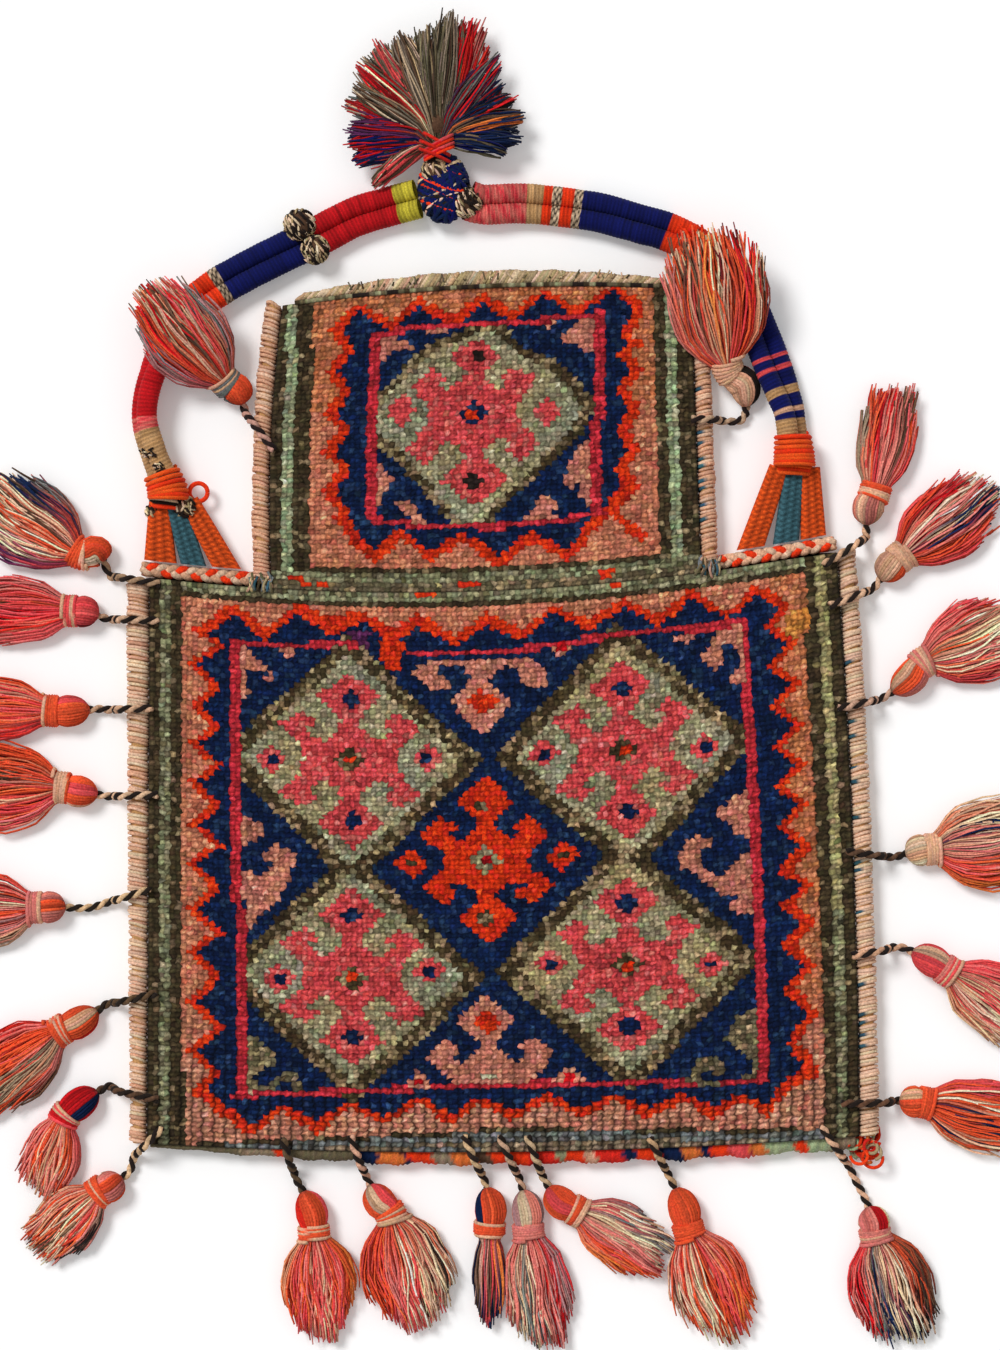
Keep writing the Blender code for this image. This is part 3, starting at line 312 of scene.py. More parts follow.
class Basket:
    """Collects yarns and cloths, and makes one mesh of them."""

    def __init__(self):
        self.points, self.loops, self.sizes, self.dyes, self.strips, self.places = [], [], [], [], [], []
        self.count = self.strip_count = 0

    def add(self, points, faces, dyes, strips, places):
        """faces is an array with a row for each face, and dyes, strips and places go corner by corner."""
        self.points.append(points)
        for rows, colour, strip, place in zip(faces, dyes, strips, places):
            self.loops.append((rows + self.count).ravel())
            self.sizes.append(np.full(len(rows), rows.shape[1]))
            self.dyes.append(colour.reshape(-1, 3))
            self.strips.append(strip.ravel() + self.strip_count)
            self.places.append(place.reshape(-1, 2))
        self.count += len(points)
        self.strip_count += max(int(strip.max()) for strip in strips) + 1

    def yarns(self, paths, radii, dyes, sides=4, lift=(0, 0, 1), flat=1.0):
        """Tubes: paths has yarns by points by 3, radii yarns by points, and dyes yarns by points by 3."""
        paths = np.asarray(paths, float)
        n, k = paths.shape[:2]
        radii = np.broadcast_to(radii, (n, k))
        dyes = np.broadcast_to(dyes, (n, k, 3))
        way = np.gradient(paths, axis=1)
        way /= np.linalg.norm(way, axis=2, keepdims=True) + 1e-12
        side = np.cross(way, np.broadcast_to(lift, paths.shape))
        side /= np.linalg.norm(side, axis=2, keepdims=True) + 1e-12
        up = np.cross(side, way) * flat
        turn = 2 * np.pi * (np.arange(sides) + 0.5) / sides
        rings = paths[:, :, None] + radii[:, :, None, None] * (
            np.cos(turn)[:, None] * side[:, :, None] + np.sin(turn)[:, None] * up[:, :, None])
        a = np.arange(sides)
        b = (a + 1) % sides
        first = (np.arange(n)[:, None, None] * k + np.arange(k - 1)[None, :, None]) * sides
        quads = np.stack([first + a, first + sides + a, first + sides + b, first + b], -1)
        shade = np.repeat(dyes[:, :, None], sides, 2).reshape(-1, 3)
        strip = np.broadcast_to(np.arange(n)[:, None, None, None], quads.shape)
        v = np.arange(k - 1) / (k - 1)
        w = np.arange(1, k) / (k - 1)
        across = np.stack([a, a, a + 1, a + 1], -1) / sides
        place = np.empty((*quads.shape, 2))
        place[..., 0] = across[None, None]
        place[..., 1] = np.stack([v, w, w, v], -1)[None, :, None, :]
        ends = np.concatenate([
            np.arange(n)[:, None] * k * sides + a,
            (np.arange(n)[:, None] * k + k - 1) * sides + a[::-1],
        ])
        end_place = np.zeros((2 * n, sides, 2))
        end_place[..., 0] = a / sides
        end_place[n:, :, 1] = 1.0
        end_strip = np.repeat(np.tile(np.arange(n), 2)[:, None], sides, 1)
        quads = quads.reshape(-1, 4)
        self.add(rings.reshape(-1, 3), [quads, ends], [shade[quads], shade[ends]],
                 [strip.reshape(-1, 4), end_strip], [place.reshape(-1, 4, 2), end_place])

    def yarn(self, path, radius, name, rng, sides=4, spread=0.16, lift=(0, 0, 1)):
        """One yarn of one dye along a path of points."""
        self.yarns(path[None], radius, dye([name], rng, spread)[0], sides, lift)

    def cloth(self, grid, dyes, closed=False):
        """A sheet over rows by columns by 3 points; closed joins the last column to the first."""
        rows, cols = grid.shape[:2]
        i = np.arange(rows - 1)[:, None]
        j = np.arange(cols if closed else cols - 1)[None, :]
        k = (j + 1) % cols
        quads = np.stack([i * cols + j, i * cols + k, (i + 1) * cols + k, (i + 1) * cols + j], -1)
        quads = quads.reshape(-1, 4)
        u, v = np.broadcast_arrays(j / max(1, cols - (not closed)), i / (rows - 1))
        du, dv = 1 / max(1, cols - (not closed)), 1 / (rows - 1)
        place = np.stack([np.stack([u, v], -1), np.stack([u + du, v], -1),
                          np.stack([u + du, v + dv], -1), np.stack([u, v + dv], -1)], -2)
        shade = np.broadcast_to(dyes, grid.shape).reshape(-1, 3)
        self.add(grid.reshape(-1, 3), [quads], [shade[quads]], [np.zeros_like(quads)],
                 [place.reshape(-1, 4, 2)])

    def make(self, name, material, planar=False):
        """The mesh object, smooth, with its dyes and its bake map."""
        points = np.concatenate(self.points)
        points[:, 2] = np.maximum(points[:, 2], FLOOR_GAP)
        loops = np.concatenate(self.loops)
        sizes = np.concatenate(self.sizes)
        mesh = bpy.data.meshes.new(name)
        mesh.vertices.add(len(points))
        mesh.vertices.foreach_set("co", points.ravel())
        mesh.loops.add(len(loops))
        mesh.loops.foreach_set("vertex_index", loops)
        mesh.polygons.add(len(sizes))
        mesh.polygons.foreach_set("loop_start", np.concatenate([[0], np.cumsum(sizes)[:-1]]))
        mesh.update(calc_edges=True)
        layer = mesh.color_attributes.new("Dye", "FLOAT_COLOR", "CORNER")
        shades = np.ones((len(loops), 4))
        shades[:, :3] = np.concatenate(self.dyes)
        layer.data.foreach_set("color", shades.ravel())
        place = np.concatenate(self.places)
        if planar:
            low, high = points[:, :2].min(0), points[:, :2].max(0)
            place = (points[loops][:, :2] - low) / (high - low)
        else:
            down = max(1, round(math.sqrt(self.strip_count / 12)))
            beside = math.ceil(self.strip_count / down)
            strip = np.concatenate(self.strips)
            place = 0.06 + 0.88 * place
            place[:, 0] = (strip % beside + place[:, 0]) / beside
            place[:, 1] = (strip // beside + place[:, 1]) / down
        mesh.uv_layers.new(name="OFBake").data.foreach_set("uv", place.ravel())
        mesh.materials.append(material)
        mesh.shade_smooth()
        made = bpy.data.objects.new(name, mesh)
        bpy.context.scene.collection.objects.link(made)
        return made


def keep(piece, record_slot, *nodes):
    """The piece rides on the bag and stands for these nodes, which it hides. Its record_slot is not used."""
    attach(piece, "root")
    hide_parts(*nodes)
    return piece


print("the basket is ready")

# %% [markdown]
# ## The cords and where the tassels hang
# Each tassel hangs on a two-ply cord of one black and one cream yarn. A cord lies on the face, goes over
# the edge, down its outside and along the floor to the tassel's head. The table lists each cord's edge, its
# place along the edge, its points on the floor and the tassel that hangs on it, in millimetres.

# %% List the hangings
# name, edge, share along the edge, start, points on the floor, waist, tip, half widths of the skirt
HANGINGS = [
    ("left_1", "left", 0.989, (5.5, 0), [(-22.5, 4.5, 3.3), (-25, 9, 3.1), (-26.5, 13.5, 4.4)],
     (-39.5, 17), (-87, 48), (11.5, 21)),
    ("left_2", "left", 0.924, (5.5, 0), [(-24, 1, 3.2), (-29.5, 3, 4.4)],
     (-44.5, 5.5), (-104.5, 5), (11, 17)),
    ("left_3", "left", 0.768, (1, 0.5), [(-23, -0.5, 3.2), (-28, 0, 3), (-34, -0.5, 4.4)],
     (-55.5, -1), (-116, 2), (9.5, 16.5)),
    ("left_4", "left", 0.616, (5, 0.5), [(-23.5, -1, 3.2), (-29.5, 0, 4.4)],
     (-49, 4), (-110.5, 5), (12, 22)),
    ("left_5", "left", 0.451, (1.5, 0),
     [(-25.5, -9, 3), (-31.5, -11, 2.9), (-38.5, -11.5, 3), (-47, -11, 4.4)],
     (-63, -11), (-122.5, -14.5), (10, 20)),
    ("left_6", "left", 0.264, (5, 1), [(-24, -6.5, 3.2), (-29, -10, 4.4)],
     (-49.5, -21), (-96, -56), (10, 19)),
    ("left_7", "left", 0.083, (6, -1), [(-23, 4.5, 3.2), (-28.5, 1.5, 4.4)],
     (-46.5, -12.5), (-60, -50), (9.5, 14)),
    ("left_8", "corner", 0.0, (8, 5), [(-10.5, -16.5, 3.5), (-15, -20, 4.5)],
     (-27.5, -27.5), (-59, -57), (9.5, 15.5)),
    ("right_1", "right", 0.967, (3.5, 3.5), [(21.5, 19, 3.3), (21.5, 26.5, 4.4)],
     (26, 44), (38, 97), (9.5, 14.5)),
    ("right_2", "right", 0.907, (1.5, 0.5), [(23.5, 10, 3.4), (27.5, 15.5, 4.4)],
     (39, 28), (83, 62), (10.5, 19)),
    ("right_3", "right", 0.735, (1.5, -0.5), [(23.5, 4.5, 3.2), (29.5, 8.5, 4.4)],
     (47, 25), (98, 45), (12, 21)),
    ("right_4", "right", 0.486, (2.5, 1), [(23.5, -3, 3.2), (27.5, -2.5, 3), (32, -1, 4.4)],
     (46, 1.5), (106.5, 7.5), (12, 23)),
    ("right_5", "right", 0.314, (1.5, -1), [(23.5, 2.5, 3.2), (28, 2, 3), (33, 0, 4.4)],
     (53, -11), (101, -41), (10.5, 18.5)),
    ("right_6", "right", 0.058, (9.5, 0), [(24, 0, 4.4)],
     (38, -1), (92.5, -14), (10, 17.5)),
    ("bottom_1", "bottom", 0.194, (7, -1), [(5.5, -17.5, 3.4), (9.5, -24.5, 4.4)],
     (15.5, -47), (20.5, -97.5), (10.5, 18.5)),
    ("bottom_2", "bottom", 0.290, (9, -1.5), [(7, -16, 3.5), (9, -20, 4.4)],
     (20.5, -36), (36, -89), (12, 22.5)),
    ("bottom_3", "bottom", 0.449, (9.5, -1.5), [(9.5, -16, 3.6), (11, -21, 4.5)],
     (12.5, -43.5), (12.5, -90.5), (6.5, 8.5)),
    ("bottom_4", "bottom", 0.499, (9.5, -1.5), [(9.5, -16, 3.6), (11.5, -22.5, 4.5)],
     (14.5, -45), (23.5, -99.5), (9.5, 17)),
    ("bottom_5", "bottom", 0.537, (9, -1), [(8, -16, 3.6), (11, -21, 4.5)],
     (27, -34), (69, -58), (9, 16)),
    ("bottom_6", "bottom", 0.714, (6, -3), [(8.5, -17.5, 3.6), (11.5, -23.5, 4.5)],
     (19, -46.5), (40, -99.5), (11, 20)),
    ("bottom_7", "bottom", 0.955, (7.5, -3.5),
     [(13.5, -17, 3.4), (17, -24.5, 2.9), (21, -32, 3), (24, -39, 4.5)],
     (27.5, -54), (43.5, -106), (11, 21)),
    ("neck_left", "neck_left", 0.488, (2, 0), [(-14.5, 21, 4.2), (-16, 26.5, 4.5)],
     (-25.5, 38.5), (-62, 81), (15, 21)),
    ("neck_right", "neck_right", 0.516, (2, 3.5), [(24.5, 3.4, 3.2), (28, 7.2, 3.4), (28.5, 11.5, 4.4)],
     (17.4, 33.0), (5.5, 99.5), (14.5, 26)),
]
print(len(HANGINGS), "cords with tassels")

# %% Lay the cords
CORD_DIAMETER = 0.005
PLY_RADIUS, PLY_OFFSET, PLY_PITCH = 0.00138, 0.00112, 0.0105
BINDING_WIDTH, BINDING_HEIGHT, NECK_BINDING_WIDTH = 0.0145, 0.0145, 0.0095
FOLD_DEPTH_LEFT, FOLD_DEPTH_RIGHT, FOLD_HEIGHT = 0.0020, 0.0075, 0.0120
FIELD_STEP = 0.0004
DARK_CORDS = ("left_6", "left_7", "right_4", "right_6", "bottom_1")
OUTWARD = {
    "left": (-1, 0, 0), "right": (1, 0, 0), "bottom": (0, -1, 0), "neck_left": (-1, 0, 0),
    "neck_right": (1, 0, 0), "corner": (-0.6, -0.8, 0),
}


def edge_point(edge, share):
    found = {"left": BODY.left, "right": BODY.right, "bottom": BODY.bottom, "corner": BODY.bottom,
             "neck_left": NECK.left, "neck_right": NECK.right}[edge](share)
    return np.array((*found, 0.0))


def cord_route(edge, share, start, floor):
    """A cord's places: over the cloth's edge and what finishes it, down its outside, then the floor's."""
    outward = np.array(OUTWARD[edge], float)
    if edge in ("bottom", "corner"):
        low_edge = FOLD_HEIGHT if edge == "bottom" else FACE_TOP
        width = FOLD_DEPTH_RIGHT + CLEARANCE if edge == "bottom" else 0.0
    else:
        low_edge = BINDING_HEIGHT
        width = (BINDING_WIDTH if edge in ("left", "right") else NECK_BINDING_WIDTH) + CLEARANCE
    room = CORD_DIAMETER / 2 + CLEARANCE
    top = FACE_TOP + 2 * FIELD_STEP + room
    anchor = edge_point(edge, share)
    floor = [anchor + np.array(place) * MM for place in floor]
    along = np.array((abs(outward[1]), abs(outward[0]), 0))
    first = start[1] * along * MM
    last = along * (floor[0] - anchor).dot(along)
    reach = (floor[0] - anchor).dot(outward)
    places = []
    for out, height in (
        (-start[0] * MM, top), (0.0, top), (0.55 * width, (low_edge + FACE_TOP) / 2 + room),
        (width + 0.0009, low_edge + 0.0013), (width + room + 0.0010, 0.6 * low_edge),
        (width + room + 0.0024, 0.0044),
    ):
        part = (out + start[0] * MM) / (reach + start[0] * MM)
        places.append(anchor + outward * out + first * (1 - part) + last * part + (0, 0, height))
    return places + floor


def twisted(line, offset, pitch, start, lift):
    """A line that winds round another at this distance, once in every pitch."""
    _, side, up = frames(line, lift)
    turn = (2 * np.pi * lengths(line) / pitch + start)[:, None]
    return line + offset * (np.cos(turn) * side + np.sin(turn) * up)


def lay_cord(number, name, edge, share, start, floor):
    rng = np.random.default_rng(500 + number)
    places = cord_route(edge, share, start, floor)
    line = curve(places, np.linspace(0, 1, 56))
    across = np.cross((*OUTWARD[edge][:2], 0.0), (0, 0, 1.0))
    lift = np.cross(across, np.gradient(line, axis=0)) * -1
    basket = Basket()
    for ply, colour in enumerate(("black", "brown" if name in DARK_CORDS else "beige")):
        wound = twisted(line, PLY_OFFSET, PLY_PITCH, math.pi * ply + number, lift)
        shade = dye([colour], rng)[0] * np.exp(rng.normal(0, 0.12, (1, len(line), 1)))
        basket.yarns(wound[None], PLY_RADIUS, shade, sides=6, lift=lift[None])
    cord = keep(basket.make("yarn_cord_" + name, YARN_WOOL), "cord", "cord_" + name)
    return places


ROUTES = {
    name: lay_cord(i, name, edge, share, start, floor)
    for i, (name, edge, share, start, floor, _, _, _) in enumerate(HANGINGS)
}
print("cords laid:", len(ROUTES))

# %% [markdown]
# ## The weaver's chart
# A knotted pile is a picture in knots. Each knot shows two tufts side by side, so the chart has two cells
# for each knot. The pattern is painted on the chart with bands, diamonds and outlines in knot numbers, and
# its slanting lines come out in steps by themselves, as in real weaving.

# %% Make the chart
class Chart:
    """A grid of tufts. Columns and rows are counted in knots from the lower left."""

    def __init__(self, knots, ground):
        col = (np.arange(knots[0] * 2) + 0.5) / 2
        row = np.arange(knots[1]) + 0.5
        self.col, self.row = np.meshgrid(col, row)
        self.names = np.full(self.col.shape, ground, dtype=object)

    def fill(self, where, name):
        self.names[where] = name

    def inside(self, corners):
        found = np.zeros(self.col.shape, bool)
        for (x0, y0), (x1, y1) in zip(corners, corners[1:] + corners[:1]):
            if y0 == y1:
                continue
            crossed = (self.row > y0) != (self.row > y1)
            found ^= crossed & (self.col < x0 + (self.row - y0) * (x1 - x0) / (y1 - y0))
        return found

    def shape(self, corners, name):
        self.fill(self.inside(corners), name)

    def diamond(self, col, row, half_cols, half_rows, name, within=None):
        found = abs(self.col - col) / half_cols + abs(self.row - row) / half_rows < 1
        self.fill(found if within is None else found & within, name)

    def dot(self, col, row, half_cols, half_rows, name):
        self.fill((abs(self.col - col) < half_cols) & (abs(self.row - row) < half_rows), name)

    def above(self, corners):
        """Cells above a line from left to right."""
        return self.row > np.interp(self.col, *zip(*corners))

    def right_of(self, corners):
        """Cells to the right of a line from bottom to top."""
        return self.col > np.interp(self.row, *zip(*[(row, col) for col, row in corners]))

    def between(self, low, high):
        """Cells in the columns from low to high."""
        return (self.col > low) & (self.col < high)

    def ringed(self, low, high, left, right):
        """Cells above the line low, below the line high, and between the lines left and right."""
        return self.above(low) & ~self.above(high) & self.right_of(left) & ~self.right_of(right)

    def cross(self, col, row, upper, lower, name):
        """A shape from the right side of its upper and its lower half, which the left side mirrors."""
        right = upper + lower[::-1]
        left = [(-x, y) for x, y in right[::-1]]
        self.shape([(col + x, row + y) for x, y in right + left], name)

    def band(self, lows, highs, name, within=True):
        self.fill(self.above(lows) & ~self.above(highs) & within, name)

    def column(self, lefts, rights, name, within=True):
        self.fill(self.right_of(lefts) & ~self.right_of(rights) & within, name)


def teeth(tips, tip, between, slope=0.0):
    """A toothed line from bottom to top: col tip at the tips' rows and col between halfway."""
    rows = sorted(tips)
    line = [(between, rows[0] - 5)]
    for i, row in enumerate(rows):
        line.append((tip, row))
        line.append((between, (row + rows[i + 1]) / 2 if i + 1 < len(rows) else row + 4))
    return [(col + slope * (row - rows[0]), row) for col, row in line]


def waves(peaks, lows, ends=()):
    """A toothed line from left to right, through the peaks and the lows in turn and round the corners."""
    return sorted([*zip(*peaks), *zip(*lows), *ends])


print("the chart is ready")

# %% [markdown]
# ## The body's pattern
# The body has a navy field in a toothed salmon border. In it stand four medallions with rose crosses and an
# orange cross between them, inside a thin pink frame. The right-hand medallions sit a little higher than
# the left-hand ones, as the weaver left them.

# %% Paint the body's borders
LEFT_TIPS = (102.5, 94, 86, 78.3, 70, 61.7, 53, 43.7, 35, 24.3, 15)
RIGHT_TIPS = (102.6, 94.6, 86.4, 78.2, 70.4, 62.3, 53.8, 47, 39, 30.3, 19.5)
FOOT_WARP = ((0, -4.6), (4, -4.2), (8, -3.2), (10, -2.9), (16, -1.9), (23, -1.0), (30, -0.1), (37, 0),
             (44, -0.4), (51, -1.3), (56, -1.9), (60, -2.2), (64, -2.5))


def paint_body_borders(chart):
    peaks, lows = (8, 14, 20, 25.4, 31.8, 38, 44.7, 51, 57), (10.8, 17, 22.9, 28.7, 35, 41.2, 47.8, 54.3)
    top_salmon = waves(
        (peaks, (111.9, 112.6, 111.4, 110.9, 110.8, 111.4, 111.7, 112, 111.6)),
        (lows, (106.6, 109.6, 107.6, 105.9, 106.5, 108.4, 107.8, 106.6)), ((4.0, 105.2), (60.8, 105.3)))
    top_navy = waves(
        (peaks, (109.4, 110.2, 108.9, 107.7, 107.9, 110.2, 110, 110.2, 109.6)),
        (lows, (104.3, 105.6, 104.5, 103.9, 104.5, 105.6, 105, 104.8)), ((5.2, 104.4), (59.3, 104.3)))
    peaks = (12.1, 18.3, 24.5, 29.9, 35.9, 42, 48.3, 53.5)
    lows = (9.5, 15.2, 21.5, 27.3, 32.9, 39.1, 45.1, 50.8, 55.8)
    low_salmon = waves(
        (peaks, (7.8, 8.6, 9.9, 9.9, 10.4, 10, 9.5, 8.8)),
        (lows, (2.1, 3.3, 5.4, 5.5, 6.2, 6.5, 6, 5.2, 4.9)),
        ((4.0, 10.8), (6.2, 7.2), (8.2, 4.4), (57.6, 10.3), (60.4, 12.4)))
    low_navy = waves(
        (peaks, (9.3, 10.2, 11.7, 11.7, 12.1, 11.6, 11, 10.3)),
        (lows, (4.7, 6.4, 7.2, 7.8, 8.4, 8.4, 8.2, 7.8, 7.6)),
        ((5.0, 12.2), (6.9, 8.8), (8.7, 6.4), (57.2, 12.0), (59.2, 14.6)))
    chart.fill((chart.names == "salmon") & (chart.col > 58.5) & (chart.row > 24), "russet")
    chart.shape([(59.5, 99.4), (61.2, 99.6), (61.4, 104.8), (59.8, 104.6)], "ochre")
    chart.fill(chart.ringed(low_salmon, top_salmon, teeth(LEFT_TIPS, 5.9, 3.5),
                            teeth(RIGHT_TIPS, 58.6, 60.6)), "orange")
    chart.fill(chart.ringed(low_navy, top_navy, teeth(LEFT_TIPS, 6.9, 4.5),
                            teeth(RIGHT_TIPS, 57.4, 59.5)), "navy")
    chart.shape([(21.3, 105), (24, 105), (23.4, 99.2), (22, 99)], "orange")
    chart.shape([(18.4, 107.0), (20.8, 106.6), (20.6, 102.2), (19.2, 102)], "purple")


def paint_body_guards(chart):
    foot = chart.row - np.interp(chart.col, *zip(*FOOT_WARP))
    chart.fill(foot < 4.4, "slate")
    chart.fill(foot < 2.4, "taupe")
    chart.fill((foot > 3.9) & (foot < 4.6), "guard")
    chart.fill((foot < 1.4) & (chart.col < 30), "slate")
    chart.fill(chart.row > 112.4, "guard")
    chart.fill(chart.row > 113.4, "green")
    chart.fill(chart.col < 3.0 + 0.3 * (chart.row < 15), "guard")
    chart.fill(chart.between(1.0, 2.0), "green")
    chart.fill(chart.col > 61.1 + 0.5 * (chart.row > 100), "guard")
    chart.fill(chart.between(62.0, 63.1), "green")
    chart.fill(chart.between(62.0, 63.1) & (chart.row > 45), "moss")
    for col, row in ((25.6, 114.6), (26.3, 114.5), (44.0, 114.4)):
        chart.dot(col, row, 0.6, 0.6, "orange")


def paint_pink_frame(chart):
    chart.column([(8.0, 0), (8.0, 44), (7.3, 62), (7.3, 115)], [(8.9, 0), (8.9, 44), (8.4, 62), (8.4, 115)],
                 "frame", (chart.row > 10.3) & (chart.row < 103.4))
    chart.column([(55.1, 0), (55.1, 115)], [(56.2, 0), (56.2, 115)], "frame",
                 (chart.row > 12) & (chart.row < 104.6))
    within = chart.between(7.3, 56.2)
    top = [(8, 102.4), (18, 103.6), (25, 102), (31, 101.7), (36, 102.4), (41, 103.3), (46, 103.9),
           (52, 103.3)]
    foot = [(8, 10.2), (16, 11.3), (23, 12.4), (30, 13.2), (37, 13.3), (44, 12.8), (51, 11.9), (56, 11.6)]
    for line, seen in ((top, within & ~chart.between(19.5, 24)), (foot, within)):
        chart.band(line, [(col, row + 1.25) for col, row in line], "frame", seen)


body_chart = Chart(BODY_KNOTS, "salmon")
paint_body_borders(body_chart)
paint_body_guards(body_chart)
paint_pink_frame(body_chart)
print("borders painted on", body_chart.names.size, "tufts")

# %% Paint the medallions and the crosses
CROSS = [(0, 18.2), (3.0, 13.0), (0.65, 8.0), (1.1, 6.3), (2.4, 3.9), (3.6, 5.4), (4.1, 6.5), (2.9, 7.4),
         (4.3, 9.9), (6.6, 7.0), (4.9, 3.4), (4.2, 0)]
MEDALLIONS = [
    (18.6, 80.4, ((11.3, 79.8), (25.7, 81.1))), (43.9, 81.0, ((36.4, 81.3), (51.3, 80.2))),
    (18.5, 35.9, ((11.8, 35.3), (25.4, 37.3))), (43.5, 37.4, ((36.5, 38.2), (50.9, 36.5))),
]


def paint_medallions(chart):
    within = chart.between(8.4, 55.1)
    for half_cols, half_rows, name in ((12.2, 26, "olive"), (10.1, 22, "sage")):
        for col, row, _ in MEDALLIONS:
            chart.diamond(col, row, half_cols, half_rows, name, within)
    for col, row, sides in MEDALLIONS:
        chart.cross(col, row, CROSS, [(x, -y) for x, y in CROSS], "rose")
        chart.diamond(col, row + 12.6, 1.1, 2.0, "navy")
        chart.diamond(col, row - 12.4, 1.1, 2.0, "navy")
        chart.diamond(col, row, 1.5, 3.0, "olive")
        chart.dot(col, row, 0.5, 0.9, "orange")
        for c, r in sides:
            chart.diamond(c, r, 1.6, 3.0, "rose")
            chart.dot(c, r, 0.5, 0.9, "navy")


def paint_middle_cross(chart):
    upper = [(0, 17.9), (2.7, 12.0), (0.7, 8.0), (1.0, 6.6), (2.3, 4.3), (3.4, 5.4), (2.4, 7.0), (4.1, 9.2),
             (6.0, 5.2), (4.2, 2.2), (3.8, 0)]
    chart.cross(30.9, 59.7, upper, [(x, -0.97 * y) for x, y in upper], "orange")
    for col, row in ((30.5, 71), (30.6, 48)):
        chart.diamond(col, row, 0.9, 1.8, "olive")
    chart.diamond(30.9, 59.9, 1.6, 2.9, "sage")
    chart.dot(30.9, 59.9, 0.5, 0.9, "red")
    for col, row in ((24.1, 59.2), (37.9, 60.2)):
        chart.diamond(col, row, 1.5, 3.3, "orange")
        chart.dot(col, row, 0.4, 0.7, "olive")


paint_medallions(body_chart)
paint_middle_cross(body_chart)
paint_pink_frame(body_chart)
print("sage tufts:", int((body_chart.names == "sage").sum()))

# %% Paint the hooks and corners
BODY_SHAPES = {
    "motif": [
        [(25, 99.5), (24.6, 98), (25.6, 95.8), (26.8, 94.7), (27.9, 95.6), (27.9, 97.1), (26.8, 98.4),
         (27.2, 100), (29.2, 100), (29.9, 97), (29.2, 95), (28, 92.2), (29.4, 88.5), (31.1, 85.7),
         (32.3, 88.1), (33.6, 91.9), (32.3, 95.3), (31.5, 96.8), (33, 99.8), (34.6, 98.8), (34.8, 97.6),
         (34.3, 96.6), (35.6, 94.9), (36.8, 95.5), (37, 98.5), (35.8, 101.2), (26.6, 101.2)],
        [(30.6, 32.4), (33.3, 27.2), (31.8, 23.6), (31.5, 21.8), (32, 20), (33.3, 18), (34.3, 20),
         (33.4, 21.2), (34.6, 23.7), (36.6, 20.6), (35.8, 17.6), (34.9, 15.2), (34.5, 14.2), (27.9, 14.2),
         (27.3, 15.2), (26.2, 17.2), (25, 19.2), (26.9, 23.8), (28.3, 21.2), (27.4, 20), (28.2, 18.2),
         (29.3, 20), (30, 21.8), (29.6, 23.4), (27.9, 26.8)],
        [(8.4, 68.6), (10.4, 66.4), (10.8, 65.3), (10, 63.8), (8.5, 61.2)],
        [(8.7, 57), (9.4, 57.2), (9.7, 55.8), (10.6, 56.6), (11.2, 57.6), (11.9, 58.2), (11.4, 58.9),
         (10.6, 59.3), (10.5, 60.5), (11.2, 61.8), (11.8, 63.1), (12.6, 62), (13.8, 59.8), (13.2, 57.8),
         (12.8, 55), (12, 51.5), (10.3, 48.2), (9.5, 44.8), (8.8, 45)],
        [(55.2, 71.3), (53.4, 69.2), (51.9, 67), (53.2, 64.4), (53.6, 62), (55.2, 61)],
        [(50.3, 63.2), (51.7, 61), (51.2, 60.3), (50.4, 60.6), (50.3, 57.5), (50.8, 55.5), (51.8, 54),
         (52.9, 55.2), (53.6, 57.3), (55.2, 58.2), (55.2, 46), (53.6, 46.4), (52.9, 48.5), (53.4, 49.6),
         (52.2, 49.6), (51, 52.2), (49.9, 55), (48.6, 56.5), (48.5, 59), (49.2, 61.6)],
        [(8.4, 102.8), (9.2, 102.6), (10.3, 99.8), (10.6, 98.6), (11.6, 98.4), (11.8, 96.9), (10.6, 95.4),
         (10.3, 96.4), (10.9, 97.4), (10.2, 98), (9.6, 98.2), (9, 97.2), (9.1, 95.5), (9.3, 93.5),
         (9, 92.3), (8.4, 92.6)],
        [(52.9, 103.3), (55.3, 103.6), (55.3, 91.8), (54.5, 91.6), (54, 93.4), (54.9, 95.5), (55, 98.5),
         (54.2, 100.2), (53.6, 99.4), (53.5, 96.6), (52.7, 95.3), (51.7, 96.7), (51.4, 98.3), (52.4, 100.3)],
        [(11.5, 103.3), (14, 103.2), (12.8, 100.4)], [(37, 102.8), (39.6, 103.4), (38.7, 100.9)],
        [(48.8, 103.2), (51.3, 103.2), (50.2, 100.8)], [(23.2, 13.2), (24.4, 17.6), (25.7, 13.4)],
        [(36.4, 14.4), (38.1, 17.5), (39.6, 14.4)],
    ],
    "khaki": [
        [(9, 23.4), (9.8, 22.6), (11.6, 19.5), (11.4, 17.4), (10.4, 16.8), (9.8, 15.2), (9, 14)],
        [(10.8, 12.8), (11.3, 14.6), (12.2, 16.2), (13.2, 15.9), (14.1, 13.6), (13.6, 12), (12.9, 12.4),
         (13, 13.8), (12.5, 14.3), (11.9, 13.2), (11.6, 12.2)],
        [(9, 14.8), (10.2, 13.4), (11.2, 11.9), (9, 11.4)],
        [(55.1, 27.5), (53.2, 26), (52, 21.5), (53.2, 19.6), (54.3, 17), (54.4, 14.6), (53.4, 13.4),
         (55.1, 12.9)],
        [(48.7, 13.2), (48.9, 15.6), (49.8, 17.8), (51.3, 17.5), (52.3, 15.8), (51.9, 14.2), (51, 14.4),
         (50.7, 15.7), (50.1, 15.2), (49.9, 13.6), (50.8, 13.2), (51.4, 12.4), (49.6, 12.2)],
    ],
}
for name, outlines in BODY_SHAPES.items():
    for corners in outlines:
        body_chart.shape(corners, name)
body_chart.diamond(30.9, 92.4, 1.6, 2.5, "orange")
body_chart.diamond(30.7, 26.7, 1.5, 2.6, "orange")
